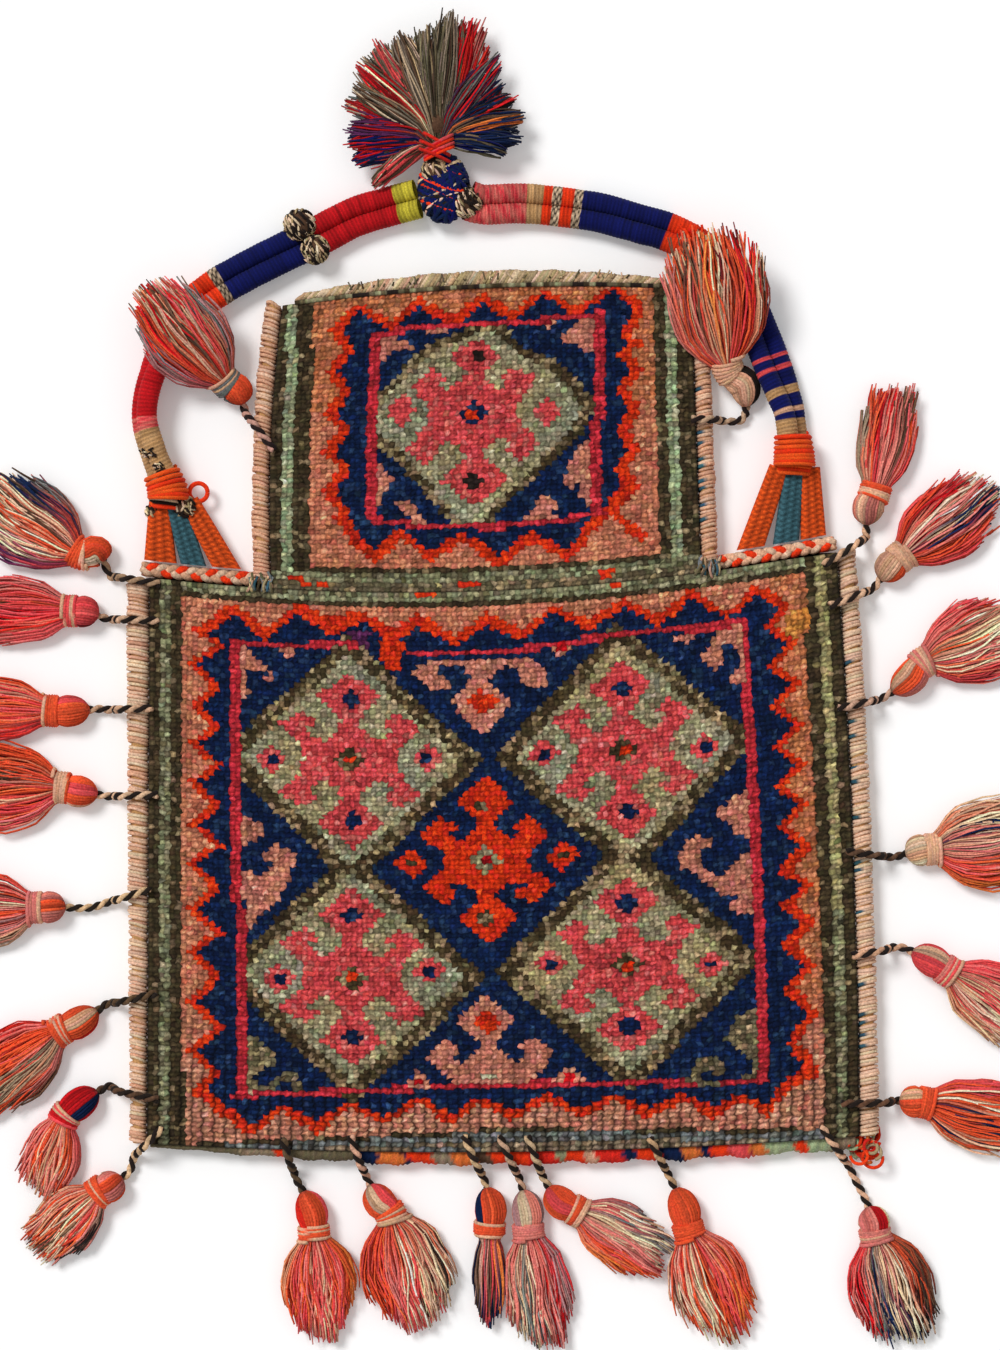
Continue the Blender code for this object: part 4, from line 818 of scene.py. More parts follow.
body_chart.dot(30.7, 15.5, 0.6, 0.9, "sage")
for col, row in ((38.3, 102.9), (24.4, 14.5), (38.0, 15.3)):
    body_chart.dot(col, row, 0.5, 0.9, "red")
print("motif tufts:", int((body_chart.names == "motif").sum()))

# %% [markdown]
# ## The neck's pattern
# The neck repeats the body's pattern in small: one sage medallion with a rose cross in a pink frame, a
# toothed orange border and the same green guard stripes.

# %% Paint the neck
NECK_LEFT_TIPS = (51.2, 42, 33.7, 25.7, 17.0)
NECK_RIGHT_TIPS = (52, 48, 40.5, 31.5, 24)
NECK_FRAME_FOOT = [(8, 14.9), (13, 13.2), (19, 12.4), (24.5, 12.7), (30, 14.2)]
NECK_FRAME_TOP = [(8, 52.5), (13.5, 54.1), (21, 53.7), (30.2, 55.5)]
NECK_MEDALLION = [
    (19.1, 53.3), (20.5, 52), (21.9, 48.5), (25.2, 44.5), (27.6, 38.5), (27.8, 36), (26.7, 31.5), (24, 26),
    (21, 19.5), (18, 12.6), (17, 14.5), (14, 22.5), (11.4, 29.5), (9.3, 33.5), (9.0, 37.5), (10, 40),
    (12, 44), (14, 49), (16.2, 50.8),
]
NECK_CORNERS = [
    [(9.4, 53.6), (10.6, 53.4), (11.3, 52), (12.6, 50.6), (11.6, 49.8), (10.6, 50.2), (10, 48.6),
     (9.3, 46.6)],
    [(12.6, 55.4), (16.4, 55.4), (15.4, 52.8), (13.6, 52.6)], [(22.9, 55.2), (25.9, 55.8), (24.8, 53)],
    [(29.1, 56.2), (27.9, 55.6), (27, 53.4), (26, 51.2), (25.9, 49.8), (26.9, 50.4), (27.4, 49.2),
     (28.3, 47.6), (29.1, 48.5)],
    [(9, 27.5), (9.8, 27), (10.4, 24.5), (11.3, 23.2), (10.4, 22.2), (10, 20), (9.2, 14.5)],
    [(11, 18.4), (11.9, 19.6), (12.8, 17.8), (13.9, 14.6), (13, 13.8), (12.2, 16), (11.6, 17)],
    [(28.5, 30), (27.4, 28.5), (26.8, 26.5), (26.6, 24.1), (26, 21.9), (26.5, 20), (27.2, 20.9),
     (27.6, 18.6), (28.3, 15.5), (28.6, 15.5)],
    [(22.4, 13.6), (23.1, 16.1), (24.2, 18.5), (25, 18.5), (25.6, 16.8), (25, 15.6), (25.4, 14.4),
     (24.8, 13.6)],
]


def paint_neck(chart):
    peaks, lows = (7.2, 12.6, 18.7, 24.3, 30.9), (10.2, 15.9, 21.5, 27.3)
    top = waves((peaks, (58.8, 59.2, 59.2, 59.9, 60.9)), (lows, (54.2, 53.7, 54.3, 55.6)),
                ((5.6, 54.4), (32.8, 56.4)))
    upper = waves((peaks, (60.4, 60.8, 60.9, 61.3, 62)), (lows, (56.3, 56.3, 56.9, 57.6)),
                  ((4.6, 56.2), (33.8, 58.2)))
    peaks, lows = (11.6, 17.3, 23.1), (9.2, 14.2, 20.2, 26.4)
    foot = waves((peaks, (13.2, 12.3, 12.0)), (lows, (8.6, 8.7, 6.9, 7.6)),
                 ((6.7, 16.8), (7.9, 12.3), (28.2, 13.0), (29.8, 16.6), (31.4, 21)))
    lower = waves((peaks, (11.0, 10.2, 9.6)), (lows, (6.3, 6.4, 3.6, 5.0)),
                  ((5.6, 16.0), (7.3, 10.0), (28.6, 10.6), (30.4, 14.2), (32.4, 18.6)))
    chart.fill(chart.row > 38, "russet")
    chart.fill(chart.ringed(lower, upper, teeth(NECK_LEFT_TIPS, 6.1, 4.5),
                            teeth(NECK_RIGHT_TIPS, 31.8, 33.1, 0.02)), "orange")
    chart.fill(chart.ringed(foot, top, teeth(NECK_LEFT_TIPS, 7.2, 5.7),
                            teeth(NECK_RIGHT_TIPS, 30.6, 31.9, 0.02)), "navy")
    chart.shape([(30.0, 14.6), (30.8, 14.8), (33.3, 9.4), (32.6, 8.2)], "orange")
    middle = np.array((18.4, 34.5))
    wider = [tuple(middle + (np.array(p) - middle) * (1.14, 1.1)) for p in NECK_MEDALLION]
    framed = chart.above(NECK_FRAME_FOOT) & ~chart.above(NECK_FRAME_TOP)
    within = framed & chart.between(9.0, 29.0)
    chart.fill(chart.inside(wider) & within, "olive")
    chart.fill(chart.inside(NECK_MEDALLION) & within, "sage")
    for corners in NECK_CORNERS:
        chart.shape(corners, "motif")
    for line in (NECK_FRAME_FOOT, NECK_FRAME_TOP):
        chart.band(line, [(col, row + 1.2) for col, row in line], "frame", chart.between(8.3, 30.0))
    for low, high in ((8.3, 8.5), (28.4, 29.1)):
        chart.column([(low, 12), (high, 56)], [(low + 1, 12), (high + 1, 56)], "frame", framed)


def paint_neck_cross(chart):
    col, row = 18.1, 36.3
    upper = [(0, 15.2), (2.5, 11.5), (0.7, 8.2), (1.1, 6.8), (2.3, 4.6), (3.2, 6.0), (2.6, 7.2), (3.8, 9.4),
             (5.7, 6.4), (4.4, 3.0), (3.9, 0)]
    lower = [(0, -19.0), (3.1, -13.4), (0.7, -8.8), (1.2, -7.0), (2.2, -5.2), (3.4, -6.4), (3.0, -7.6),
             (4.2, -10.6), (6.0, -6.8), (4.7, -3.2), (3.9, 0)]
    chart.cross(col, row, upper, lower, "rose")
    chart.diamond(col, row, 1.3, 2.9, "navy")
    chart.dot(col, row, 0.5, 0.8, "orange")
    chart.diamond(18.5, 48, 0.9, 1.6, "black")
    chart.diamond(18.0, 22.7, 1.0, 2.0, "black")
    chart.diamond(11.7, 37.5, 1.4, 3.3, "rose")
    chart.diamond(24.8, 36, 1.4, 3.0, "rose")


def paint_neck_guards(chart):
    chart.fill(chart.row < 5, "guard")
    chart.fill(chart.row < 4.2, "green")
    chart.fill(chart.row < 2.4, "khaki")
    for col, row in ((2.2, 2.2), (3.0, 1.6), (4.6, 1.4), (16.9, 1.4), (17.7, 1.6), (29.5, 1.5), (29.8, 2.2)):
        chart.dot(col, row, 0.6, 0.6, "orange")
    slip = -0.5 * (chart.row > 52)
    side = chart.row > 4
    chart.fill((chart.col < 3.3 + slip) & side, "guard")
    chart.fill(chart.between(0.9 + slip, 2.2 + slip) & side, "sea")
    chart.fill((chart.col > 34.3) & side, "guard")
    chart.fill(chart.between(35.3, 36.4) & side, "sea")


neck_chart = Chart(NECK_KNOTS, "salmon")
paint_neck(neck_chart)
paint_neck_cross(neck_chart)
paint_neck_guards(neck_chart)
print("neck tufts:", neck_chart.names.size)

# %% [markdown]
# ## The pile
# Every cell of the chart becomes a tuft: a small rounded lump, four faces wide, that is lower at its rim,
# with painted shade that darkens the rim. No two tufts have the same height or shade. The foot of the bag
# is worn, so there the tufts are flatter and the ground shows between the rows, in dark lines of painted
# shade.

# %% Tie the tufts
TUFT_HEIGHT = 0.0013
# how far the guard stripes on the right lean over the binding, in metres at these shares of the width
WIDER_EDGE = (0.93, 0.9625, 0.97, 0.985, 1.0), (0.0, 0.0020, 0.0044, 0.0045, 0.0052)
EDGE_BEND = 1.9


def rolling(points):
    """The slow rise and fall of cloth that lies on its own folds."""
    x, y = points[..., 0], points[..., 1]
    rise = 0.55 * np.sin(31 * x + 17 * y + 0.4) + 0.45 * np.sin(19 * x - 42 * y + 1.9)
    return MM * (rise + 0.35 * np.sin(70 * x + 8 * y) * np.cos(55 * y - 12 * x))


# of each dye: the dye of its flecks, the share of its tufts that have them and their strength
FLECKS = {
    "navy": ("sky", 0.22, 0.20), "olive": ("hem", 0.36, 0.60), "sage": ("guard", 0.17, 0.50),
    "guard": ("hem", 0.14, 0.40), "khaki": ("hem", 0.30, 0.60), "salmon": ("frame", 0.10, 0.30),
    "rose": ("pink", 0.16, 0.60), "motif": ("pink", 0.25, 0.50), "green": ("guard", 0.28, 0.70),
    "moss": ("guard", 0.15, 0.50), "sea": ("cream", 0.20, 0.30), "orange": ("scarlet", 0.30, 0.70),
    "russet": ("salmon", 0.35, 0.60), "slate": ("guard", 0.25, 0.60), "taupe": ("guard", 0.35, 0.60),
}


def tuft_shades(chart, rng, wear):
    """One colour for each tuft, with flecks, and with streaks where the weaver changed yarn."""
    names = chart.names
    shades = np.array([DYES[name] for name in names.ravel()]).reshape(*names.shape, 3)
    worn = (names == "salmon")[..., None] * wear[..., None]
    shades = shades * (1 - worn) + np.array(DYES["worn"]) * worn
    slow = np.sin(chart.col * 0.42 + 1.4 * np.sin(chart.row * 0.10)) * np.cos(chart.row * 0.15 + 0.9)
    shades *= 1 + (names == "sage")[..., None] * slow[..., None] * (0.16, 0.03, -0.12)
    for name, (fleck, share, strength) in FLECKS.items():
        spots = (names == name) & (rng.random(names.shape) < share)
        shades[spots] = shades[spots] * (1 - strength) + np.array(DYES[fleck]) * strength
    knot = np.repeat(rng.normal(0, 0.12, (names.shape[0], names.shape[1] // 2)), 2, axis=1)
    light = knot + rng.normal(0, 0.25, names.shape) + rng.normal(0, 0.04, (names.shape[0], 1))
    return shades * np.exp(light)[..., None] * np.exp(rng.normal(0, 0.06, shades.shape))


def to_points(cells):
    """The chart's cells as a value for each point of the pile, two by two for each cell."""
    return np.pad(cells.repeat(2, 0).repeat(2, 1), ((0, 1), (0, 1)), mode="edge")


def close_block(top, tall, wide):
    """The points below the rim of a block's top, with the faces of its walls and its underside."""
    rim = np.concatenate([np.arange(wide), np.arange(1, tall) * wide + wide - 1,
                          (tall - 1) * wide + np.arange(wide - 2, -1, -1),
                          np.arange(tall - 2, 0, -1) * wide])
    n = len(rim)
    low = np.arange(n) + len(top)
    walls = np.stack([low, np.roll(low, -1), np.roll(rim, -1), rim], -1)
    right = wide - 1 + np.arange(tall)
    left = (n - np.arange(tall)) % n
    ribs = np.stack([low[left[:-1]], low[left[1:]], low[right[1:]], low[right[:-1]]], -1)[1:-1]
    near = np.concatenate([low[:wide], low[right[1:2]], low[left[1:2]]])[::-1]
    far = np.concatenate([low[right[-2:-1]], low[wide + tall - 2:2 * wide + tall - 2], low[left[-2:-1]]])
    return top[rim] * (1, 1, 0) + (0, 0, FACE_BASE), [walls, ribs, near[None], far[None, ::-1]]


def tie_block(basket, patch, chart, seed, wear):
    """The top of one patch with its tufts, its side walls and its underside, closed all round."""
    rng = np.random.default_rng(seed)
    rows, cols = chart.names.shape
    tall, wide = 2 * rows + 1, 2 * cols + 1
    odd_row, odd_col = (np.arange(tall) % 2 == 1)[:, None], np.arange(wide) % 2 == 1

    def by_place(tuft, side, end, corner):
        """A value for each point: in the middle of a tuft, on its sides, on its ends or at its corners."""
        return np.where(odd_row, np.where(odd_col, tuft, side), np.where(odd_col, end, corner))

    u, v = np.meshgrid(np.linspace(0, 1, wide), np.linspace(0, 1, tall))
    loose = np.zeros((tall, wide), bool)
    loose[1:-1, 2:-2] = True
    slip = np.repeat(rng.uniform(-0.20, 0.20, rows + 1), 2)[:tall, None]
    u = u + loose * (rng.uniform(-0.23, 0.23, u.shape) + slip) / cols
    v = v + loose * rng.uniform(-1, 1, v.shape) * np.where(odd_row, 0.18, 0.28) / rows
    flat = patch.at(u, v)
    if patch is BODY:
        flat[..., 0] += np.interp(u, *WIDER_EDGE) * (0.06 + 0.94 * np.maximum(v, 0) ** EDGE_BEND)
    tired = to_points(wear)
    warp, pad = np.arange(wide) % 4 == 0, np.arange(wide) % 4 == 2
    rise = by_place(1.0, 0.42, 0.34, 0.12) * (1 - tired)
    rise = rise + np.where(odd_row, np.where(warp, 0.0, 0.95), 0.15) * tired
    rise = rise + loose * rng.normal(0, 0.10, rise.shape)
    lump = to_points(rng.normal(1, 0.26, (rows, cols)))
    z = FACE_TOP + TUFT_HEIGHT * (rise * lump * (1 - 0.35 * tired) - 0.75) + rolling(flat)
    z += loose * rng.normal(0, 0.00010, z.shape)
    top = np.concatenate([flat, z[..., None]], 2).reshape(-1, 3)
    i, j = np.meshgrid(np.arange(tall - 1), np.arange(wide - 1), indexing="ij")
    corners = [(i, j), (i, j + 1), (i + 1, j + 1), (i + 1, j)]
    quads = np.stack([a * wide + b for a, b in corners], -1).reshape(-1, 4)
    tuft = tuft_shades(chart, rng, wear)[i // 2, j // 2]
    # Painted shade: a tuft is brightest at its middle and darker at its sides and corners, where it dips
    # towards its neighbours; on the worn foot the pads are bright and the lines between them dark.
    worn_painted_shade = np.where(odd_row, np.where(warp, 0.16, np.where(pad, 1.16, 1.24)), 0.42 - 0.30 * warp)
    depth = by_place(1.28, 0.66, 0.62, 0.36) * (1 - tired) + worn_painted_shade * tired
    depth *= np.exp(rng.normal(0, 0.21, (tall, wide)))
    painted_shade = np.stack([depth[a, b] for a, b in corners], -1)
    shade = np.clip(tuft[:, :, None] * painted_shade[..., None], 0, 0.9).reshape(-1, 4, 3)
    under, closing = close_block(top, tall, wide)
    faces = [quads, *closing]
    dark = [np.broadcast_to(DYES["guard"], (*part.shape, 3)) for part in closing]
    basket.add(np.concatenate([top, under]), faces, [shade, *dark],
               [np.zeros(part.shape, int) for part in faces], [np.zeros((*part.shape, 2)) for part in faces])


def tie_pile():
    basket = Basket()
    border = (body_chart.col < 8) | (body_chart.col > 56) | (body_chart.row < 11)
    wear = np.clip((34 - body_chart.row) / 22, 0, 1) * np.where(border, 1.0, 0.55)
    wear = np.maximum(wear, 0.45 * (body_chart.col > 61) + 0.4 * (body_chart.row < 5))
    tie_block(basket, BODY, body_chart, 11, wear)
    tie_block(basket, NECK, neck_chart, 12, np.zeros(neck_chart.row.shape))
    return keep(basket.make("knotted_pile", PILE_WOOL, planar=True), "pile", "front_panel")


pile = tie_pile()
print("triangles in the pile:", sum(len(p.vertices) - 2 for p in pile.data.polygons))

# %% [markdown]
# ## The flatwoven back
# The back is a plain weave in bands of orange, navy and pale green. At the foot it folds up past the pile,
# which leaves a narrow coloured strip below the face. The strip's colours follow the photograph, and the
# bands behind it are guessed, since the back can't be seen.

# %% Weave the back and its fold
STRIP = [
    (0, "khaki"), (9, "taupe"), (12, "orange"), (13, "khaki"), (19.5, "navy"), (21.3, "amber"),
    (23.6, "navy"), (24.1, "orange"), (26.3, "taupe"), (28, "amber"), (30, "brown"), (31.5, "orange"),
    (34.8, "scarlet"), (37.5, "green"), (38.2, "orange"), (40, "peach"), (41, "scarlet"), (43.5, "navy"),
    (44.5, "orange"), (46.7, "navy"), (48.8, "amber"), (50.3, "navy"), (51.3, "orange"), (53, "rose"),
    (55, "amber"), (56.2, "sea"), (59, "orange"), (60, "sea"), (62, "taupe"),
]
FOLD_SPREAD = 0.35
# round the fold from below to its top: how far out, as a part of its depth, and how high, of its height
FOLD_RING = ((-0.6, 0.1), (0.2, 0.05), (0.85, 0.15), (1.0, 0.4), (0.95, 0.7), (0.7, 0.92), (0.35, 1.0),
             (-0.1, 0.97))
BACK_DYES, BACK_SHARES = ("orange", "navy", "sea", "scarlet", "amber", "rose"), (.3, .2, .14, .14, .12, .1)


def strip_shades(shares, rng):
    """The colours of the weft floats along the foot, from the list of the strip's bands."""
    starts = np.array([start for start, _ in STRIP])
    picks = np.searchsorted(starts, np.asarray(shares) * BODY_KNOTS[0], side="right") - 1
    return dye([STRIP[max(0, i)][1] for i in picks], rng, 0.14)


def fold_foot(basket, rng):
    """The fold that comes up past the foot of the pile, deeper on the right, in ribs of coloured weft."""
    count = 300
    shares = np.linspace(0.004, 0.996, count)
    edge = BODY.bottom(shares)
    depth = FOLD_DEPTH_LEFT + (FOLD_DEPTH_RIGHT - FOLD_DEPTH_LEFT) * np.minimum(1, shares / FOLD_SPREAD)
    thread = 1 + 0.05 * np.sin(np.arange(count) * np.pi * 0.9) + rng.normal(0, 0.03, count)
    depth = depth * (1 + 0.10 * np.sin(shares * 61) + 0.07 * np.sin(shares * 143 + 1))
    rings = []
    for out, height in FOLD_RING:
        ribbed = thread if height > 0.9 else 1
        rings.append(np.stack([edge[:, 0], edge[:, 1] - CLEARANCE - depth * out * thread,
                               np.full(count, height * FOLD_HEIGHT) * ribbed], -1))
    floats = [strip_shades(shares + 0.0016 * k + 0.0035 * np.sin(shares * 210 + 2 * k), rng)
              for k in range(len(FOLD_RING))]
    basket.cloth(np.array(rings), np.array(floats))


def weave_back():
    rng = np.random.default_rng(21)
    basket = Basket()
    for patch, bands in ((BODY, 40), (NECK, 22)):
        v, u = np.meshgrid(np.linspace(0, 1, 97), np.linspace(0, 1, 73), indexing="ij")
        flat = patch.at(u, v)
        weave = rng.normal(0, 0.00006, u.shape)
        picks = rng.choice(BACK_DYES, bands, p=BACK_SHARES)
        shade = dye(picks, rng)[(v * bands * 0.999).astype(int)]
        shade = shade * np.exp(rng.normal(0, 0.12, u.shape))[..., None]
        low = np.concatenate([flat, (0.0006 + abs(weave))[..., None]], 2)
        high = np.concatenate([flat, np.full((*u.shape, 1), BACK_THICKNESS)], 2)
        basket.cloth(low[:, ::-1], shade[:, ::-1])
        basket.cloth(high[::6, ::6], shade[::6, ::6])
    fold_foot(basket, rng)
    return keep(basket.make("flatwoven_back", WOUND_WOOL), "flatweave", "back_panel")


back = weave_back()
print("back points:", len(back.data.vertices))

# %% [markdown]
# ## Tassels
# A tassel is a bundle of loose yarns that is bent over the end of its cord and bound below the bend. So it
# has a round head, a wrapped waist and a skirt that spreads. The skirt's yarns lie in locks. Each tassel's
# colours are listed in the order of the photograph, from its upper or left side to the other side.

# %% List the tassels' colours
# skirt from one side to the other, binding, head
TASSELS = {
    "left_1": ("slate navy brown cream ember peach cream mauve purple", "ember", "ember cream scarlet"),
    "left_2": ("rose pink rose brown rose red scarlet rose pink", "peach", "rose peach maroon"),
    "left_3": ("ember peach rose ember rose ember scarlet rose", "ember", "ember rose peach"),
    "left_4": ("ember amber ember brown ember peach rose ember rose", "peach", "ember peach rose"),
    "left_5": ("ember cream red black cream ember mauve pink taupe", "pink", "pink cream ember"),
    "left_6": ("scarlet ember rose ember pink taupe ember brown", "ember", "ember scarlet peach"),
    "left_7": ("pink ember pink peach ember pink", "rose", "red black beige navy"),
    "left_8": ("beige ember pink brown cream ember pink black", "ember", "ember pink beige"),
    "right_1": ("taupe ember red pink rose brown pink ember", "ember", "peach ember pink"),
    "right_2": ("rose red pink cream navy pink ember rose", "peach", "peach rose ember"),
    "right_3": ("rose ember peach cream pink cream pink rose", "pink", "pink peach ember"),
    "right_4": ("beige cream navy pink cream pink ember amber", "peach", "peach cream pink"),
    "right_5": ("rose pink beige rose cream pink beige", "pink", "rose beige pink"),
    "right_6": ("rose ember cream ember navy ember peach", "ember", "ember black peach"),
    "bottom_1": ("amber ember rose pink rose peach rose ember amber", "ember", "ember rose scarlet"),
    "bottom_2": ("ember ember rose pink rose cream beige black cream", "beige", "ember beige rose"),
    "bottom_3": ("navy brown rose navy amber", "ember", "ember navy red"),
    "bottom_4": ("pink cream slate pink red mauve", "pink", "pink mauve cream"),
    "bottom_5": ("amber ember rose pink cream slate cream slate", "ember", "ember rose cream"),
    "bottom_6": ("cream ember cream ember rose amber ember", "ember", "ember cream peach"),
    "bottom_7": ("red pink slate navy cream cream black brown", "pink", "pink red cream"),
    "neck_left": ("mauve slate taupe rose beige red brown beige red ember scarlet slate mauve",
                  "slate", "ember slate ember black"),
    "neck_right": ("pink rose beige ember brown ember amber cream ember maroon ember red cream brown",
                   "peach", "peach scarlet pink black"),
}
print(len(TASSELS), "palettes")

# %% Make a tassel
HEAD_WIDTH, HEAD_THICKNESS = 0.0185, 0.0140
WAIST_WIDTH, WAIST_THICKNESS, SKIRT_THICKNESS = 0.0160, 0.0130, 0.0120
LIFTED = {"neck_left": (9, 24, 28), "neck_right": (11.5, 27, 29)}
STRAND_RADIUS, HEAD_YARN = 0.00068, 0.00115
# the yarns of a skirt and the locks that they are drawn together in
FULL_SKIRT, THIN_SKIRT = (318, 6), (170, 3)
# along a tassel: the share of its way, what the size is taken from, and the parts of its width and thickness
STATIONS = (
    (0.00, "cord", 0.5, 0.5), (0.07, "head", 0.34, 0.36), (0.16, "head", 0.46, 0.46),
    (0.27, "head", 0.5, 0.5), (0.36, "head", 0.47, 0.47), (0.43, "waist", 0.46, 0.44),
    (0.53, "waist", 0.46, 0.44), (0.56, "skirt", 0.56, 0.48), (0.63, "skirt", 0.92, 0.54),
    (0.75, "skirt", 1.12, 0.54), (0.88, "skirt", 1.12, 0.48), (1.10, "skirt", 1.02, 0.36),
)
# the dyes that ran at the root of the skirt's locks
WARM = ("ember", "rose", "peach", "pink", "rose", "ember")


class Spine:
    """The middle line of a tassel with its half width and half height at any share of it."""

    def __init__(self, name, places, waist, tip, spread):
        way = unit(places[-1] - places[-2])
        start = places[-1] + way * CLEARANCE
        heights = LIFTED.get(name, (WAIST_THICKNESS * 500, SKIRT_THICKNESS * 500, SKIRT_THICKNESS * 500))
        waist = np.array((*waist, heights[0] * MM + CLEARANCE))
        tip = np.array((*tip, heights[2] * MM + CLEARANCE))
        middle = (waist + tip) / 2
        middle[2] = heights[1] * MM + CLEARANCE
        near = start + way * np.linalg.norm(waist - start) * 0.3 + (waist - start) * 0.2
        near[2] = HEAD_THICKNESS / 2 + CLEARANCE
        self.points = [start, near, waist, middle, tip]
        sizes = {"cord": (CORD_DIAMETER, CORD_DIAMETER), "head": (HEAD_WIDTH, HEAD_THICKNESS),
                 "waist": (WAIST_WIDTH, WAIST_THICKNESS), "skirt": (spread[1] * MM, SKIRT_THICKNESS)}
        self.stations = np.array([(share, wide * sizes[part][0], tall * sizes[part][1])
                                  for share, part, wide, tall in STATIONS])
        self.table = np.linspace(0, 1.1, 111)
        self.line = curve(self.points, self.table)
        _, self.side, self.up = frames(self.line)

    def look(self, values, share):
        return np.stack([np.interp(share, self.table, values[:, i]) for i in range(3)], -1)

    def at(self, share, across, above):
        """Points at these shares, and at these parts of the half width and the half height."""
        wide, tall = (np.interp(share, self.stations[:, 0], self.stations[:, i]) for i in (1, 2))
        return (self.look(self.line, share) + self.look(self.side, share) * (across * wide)[..., None]
                + self.look(self.up, share) * (above * tall)[..., None])


def disc(count, rng):
    """Points spread evenly over a round bundle."""
    k = np.arange(count) + 0.5
    far, turn = np.sqrt(k / count), k * 2.399963 + rng.random() * 6.28
    return far * np.cos(turn) + rng.normal(0, 0.03, count), far * np.sin(turn) + rng.normal(0, 0.03, count)


def skirt(basket, spine, colours, rng, count, locks):
    """Loose yarns from the waist to a rounded end, wavy, and drawn together a little in locks."""
    across, above = disc(count, rng)
    lock = np.clip(((across + 1) / 2 * locks + rng.normal(0, 0.45, count)).astype(int), 0, locks - 1)
    middle = (lock + 0.5) / locks * 2 - 1
    level = rng.permutation(locks)[lock] / locks
    end = 1.04 - 0.22 * abs(across) ** 2.4 + rng.normal(0, 0.025, locks)[lock] + rng.normal(0, 0.022, count)
    share = 0.46 + (end[:, None] - 0.46) * np.linspace(0, 1, 9)
    run = np.clip((share - 0.5) / 0.5, 0, 1)
    pull = 0.40 * run**2
    drawn = across[:, None] * (1 - pull) + middle[:, None] * pull
    phase = rng.uniform(0, 6.28, locks)[lock] + rng.normal(0, 0.9, count)
    drawn += (0.085 * np.sin(7 * run + phase[:, None]) + rng.normal(0, 0.10, (count, 1)) * run) * run ** 0.6
    rise = above[:, None] * 0.86 * (1 - 0.15 * run) + 0.20 * (level[:, None] - 0.5) * run
    rise += 0.10 * np.sin(9 * run + 2 * phase[:, None]) * run
    paths = spine.at(share, drawn, rise)
    place = (1 - across) / 2 * len(colours) + rng.normal(0, 0.75, count)
    names = [colours[int(i)] for i in np.clip(place, 0, len(colours) - 1)]
    root = dye(pick(rng, WARM, locks), rng, 0.15)[lock][:, None]
    own = dye(names, rng, 0.24)[:, None]
    bleed = np.clip(rng.normal(0.75, 0.35, (count, 1, 1)) - run[..., None] * 1.1, 0, 0.8)
    shades = own * (1 - bleed) + root * bleed
    # Painted shade: yarns that lie low in the bundle or in a low lock are darker, and every yarn is darker
    # near the waist.
    skirt_painted_shade = 0.78 + 0.50 * (above + 1) / 2 + 0.12 * level
    shades = shades * skirt_painted_shade[:, None, None] * np.exp(rng.normal(0, 0.10, (count, 9, 1)))
    shades = shades * np.array((0.6, 0.7, 0.9, 1, 1, 1, 1, 1, 1.05))[None, :, None]
    radii = STRAND_RADIUS * np.exp(rng.normal(0, 0.14, (count, 1))) * np.array(
        (0.9, 0.9, 1, 1, 1, 1, 1, 0.95, 0.7))
    basket.yarns(paths, radii, np.clip(shades, 0, 0.9), sides=3)


def head(basket, spine, colours, rng):
    """The bend of the bundle: yarns that run over a round head in a few broad locks."""
    count = 30
    turn = 2 * np.pi * (np.arange(count) + 0.5) / count
    share = np.linspace(0.0, 0.47, 11)[None]
    lean = 0.5 * share
    paths = spine.at(np.broadcast_to(share, (count, 11)), 0.88 * np.cos(turn[:, None] + lean),
                     0.88 * np.sin(turn[:, None] + lean))
    locks = rng.integers(0, len(colours), 8) * (rng.random(8) < 0.6)
    names = [colours[i] for i in np.repeat(locks, 4)[:count]]
    # Painted shade: the head's yarns are darker towards the cord.
    shades = dye(names, rng, 0.2)[:, None] * np.linspace(0.75, 1.1, 11)[None, :, None]
    radii = np.array((0.4, 0.8, 1, 1, 1, 1, 1, 1, 0.95, 0.9, 0.8))[None] * HEAD_YARN
    basket.yarns(paths, np.broadcast_to(radii, (count, 11)), shades, sides=4)
    # A dark maroon core inside the head and the waist fills the gaps between the yarns with painted shade.
    shade_core = curve(spine.points, np.linspace(0.02, 0.7, 9))[None]
    thick = np.array((1.5, 4.4, 5.4, 5.4, 5.2, 5, 4.6, 4.2, 3))[None] * MM
    basket.yarns(shade_core, thick, DYES["maroon"], sides=8)


def waist(basket, spine, colours, rng, turns=6):
    """The binding, one yarn wound round the bundle."""
    share = np.linspace(0.43, 0.545, turns * 14)[None]
    turn = np.linspace(0, 2 * np.pi * turns, turns * 14)[None] + rng.random() * 6
    paths = spine.at(share, 1.10 * np.cos(turn), 1.10 * np.sin(turn))
    way = np.broadcast_to(spine.look(np.gradient(spine.line, axis=0), share), paths.shape)
    shade = dye(np.repeat(pick(rng, colours, turns), 14), rng, 0.03)[None]
    shade = shade * np.exp(np.repeat(rng.normal(0, 0.10, turns), 14))[None, :, None]
    basket.yarns(paths, HEAD_YARN, shade, sides=5, lift=way)


def make_tassel(number, name, edge, share, places, middle, tip, spread):
    rng = np.random.default_rng(900 + number)
    anchor = edge_point(edge, share)[:2]
    spine = Spine(name, places, anchor + np.array(middle) * MM, anchor + np.array(tip) * MM, spread)
    colours, binding, top = TASSELS[name]
    colours, top = colours.split(), top.split()
    if edge in ("right", "neck_right"):
        colours = colours[::-1]
    basket = Basket()
    skirt(basket, spine, colours, rng, *(THIN_SKIRT if name == "bottom_3" else FULL_SKIRT))
    head(basket, spine, top, rng)
    waist(basket, spine, (binding, binding, top[0], "peach"), rng)
    return keep(basket.make("yarn_tassel_" + name, YARN_WOOL), "yarn", "tassel_" + name)


tassels = [
    make_tassel(i, name, edge, share, ROUTES[name], middle, tip, spread)
    for i, (name, edge, share, _, _, middle, tip, spread) in enumerate(HANGINGS)
]
print("tassels made:", len(tassels))

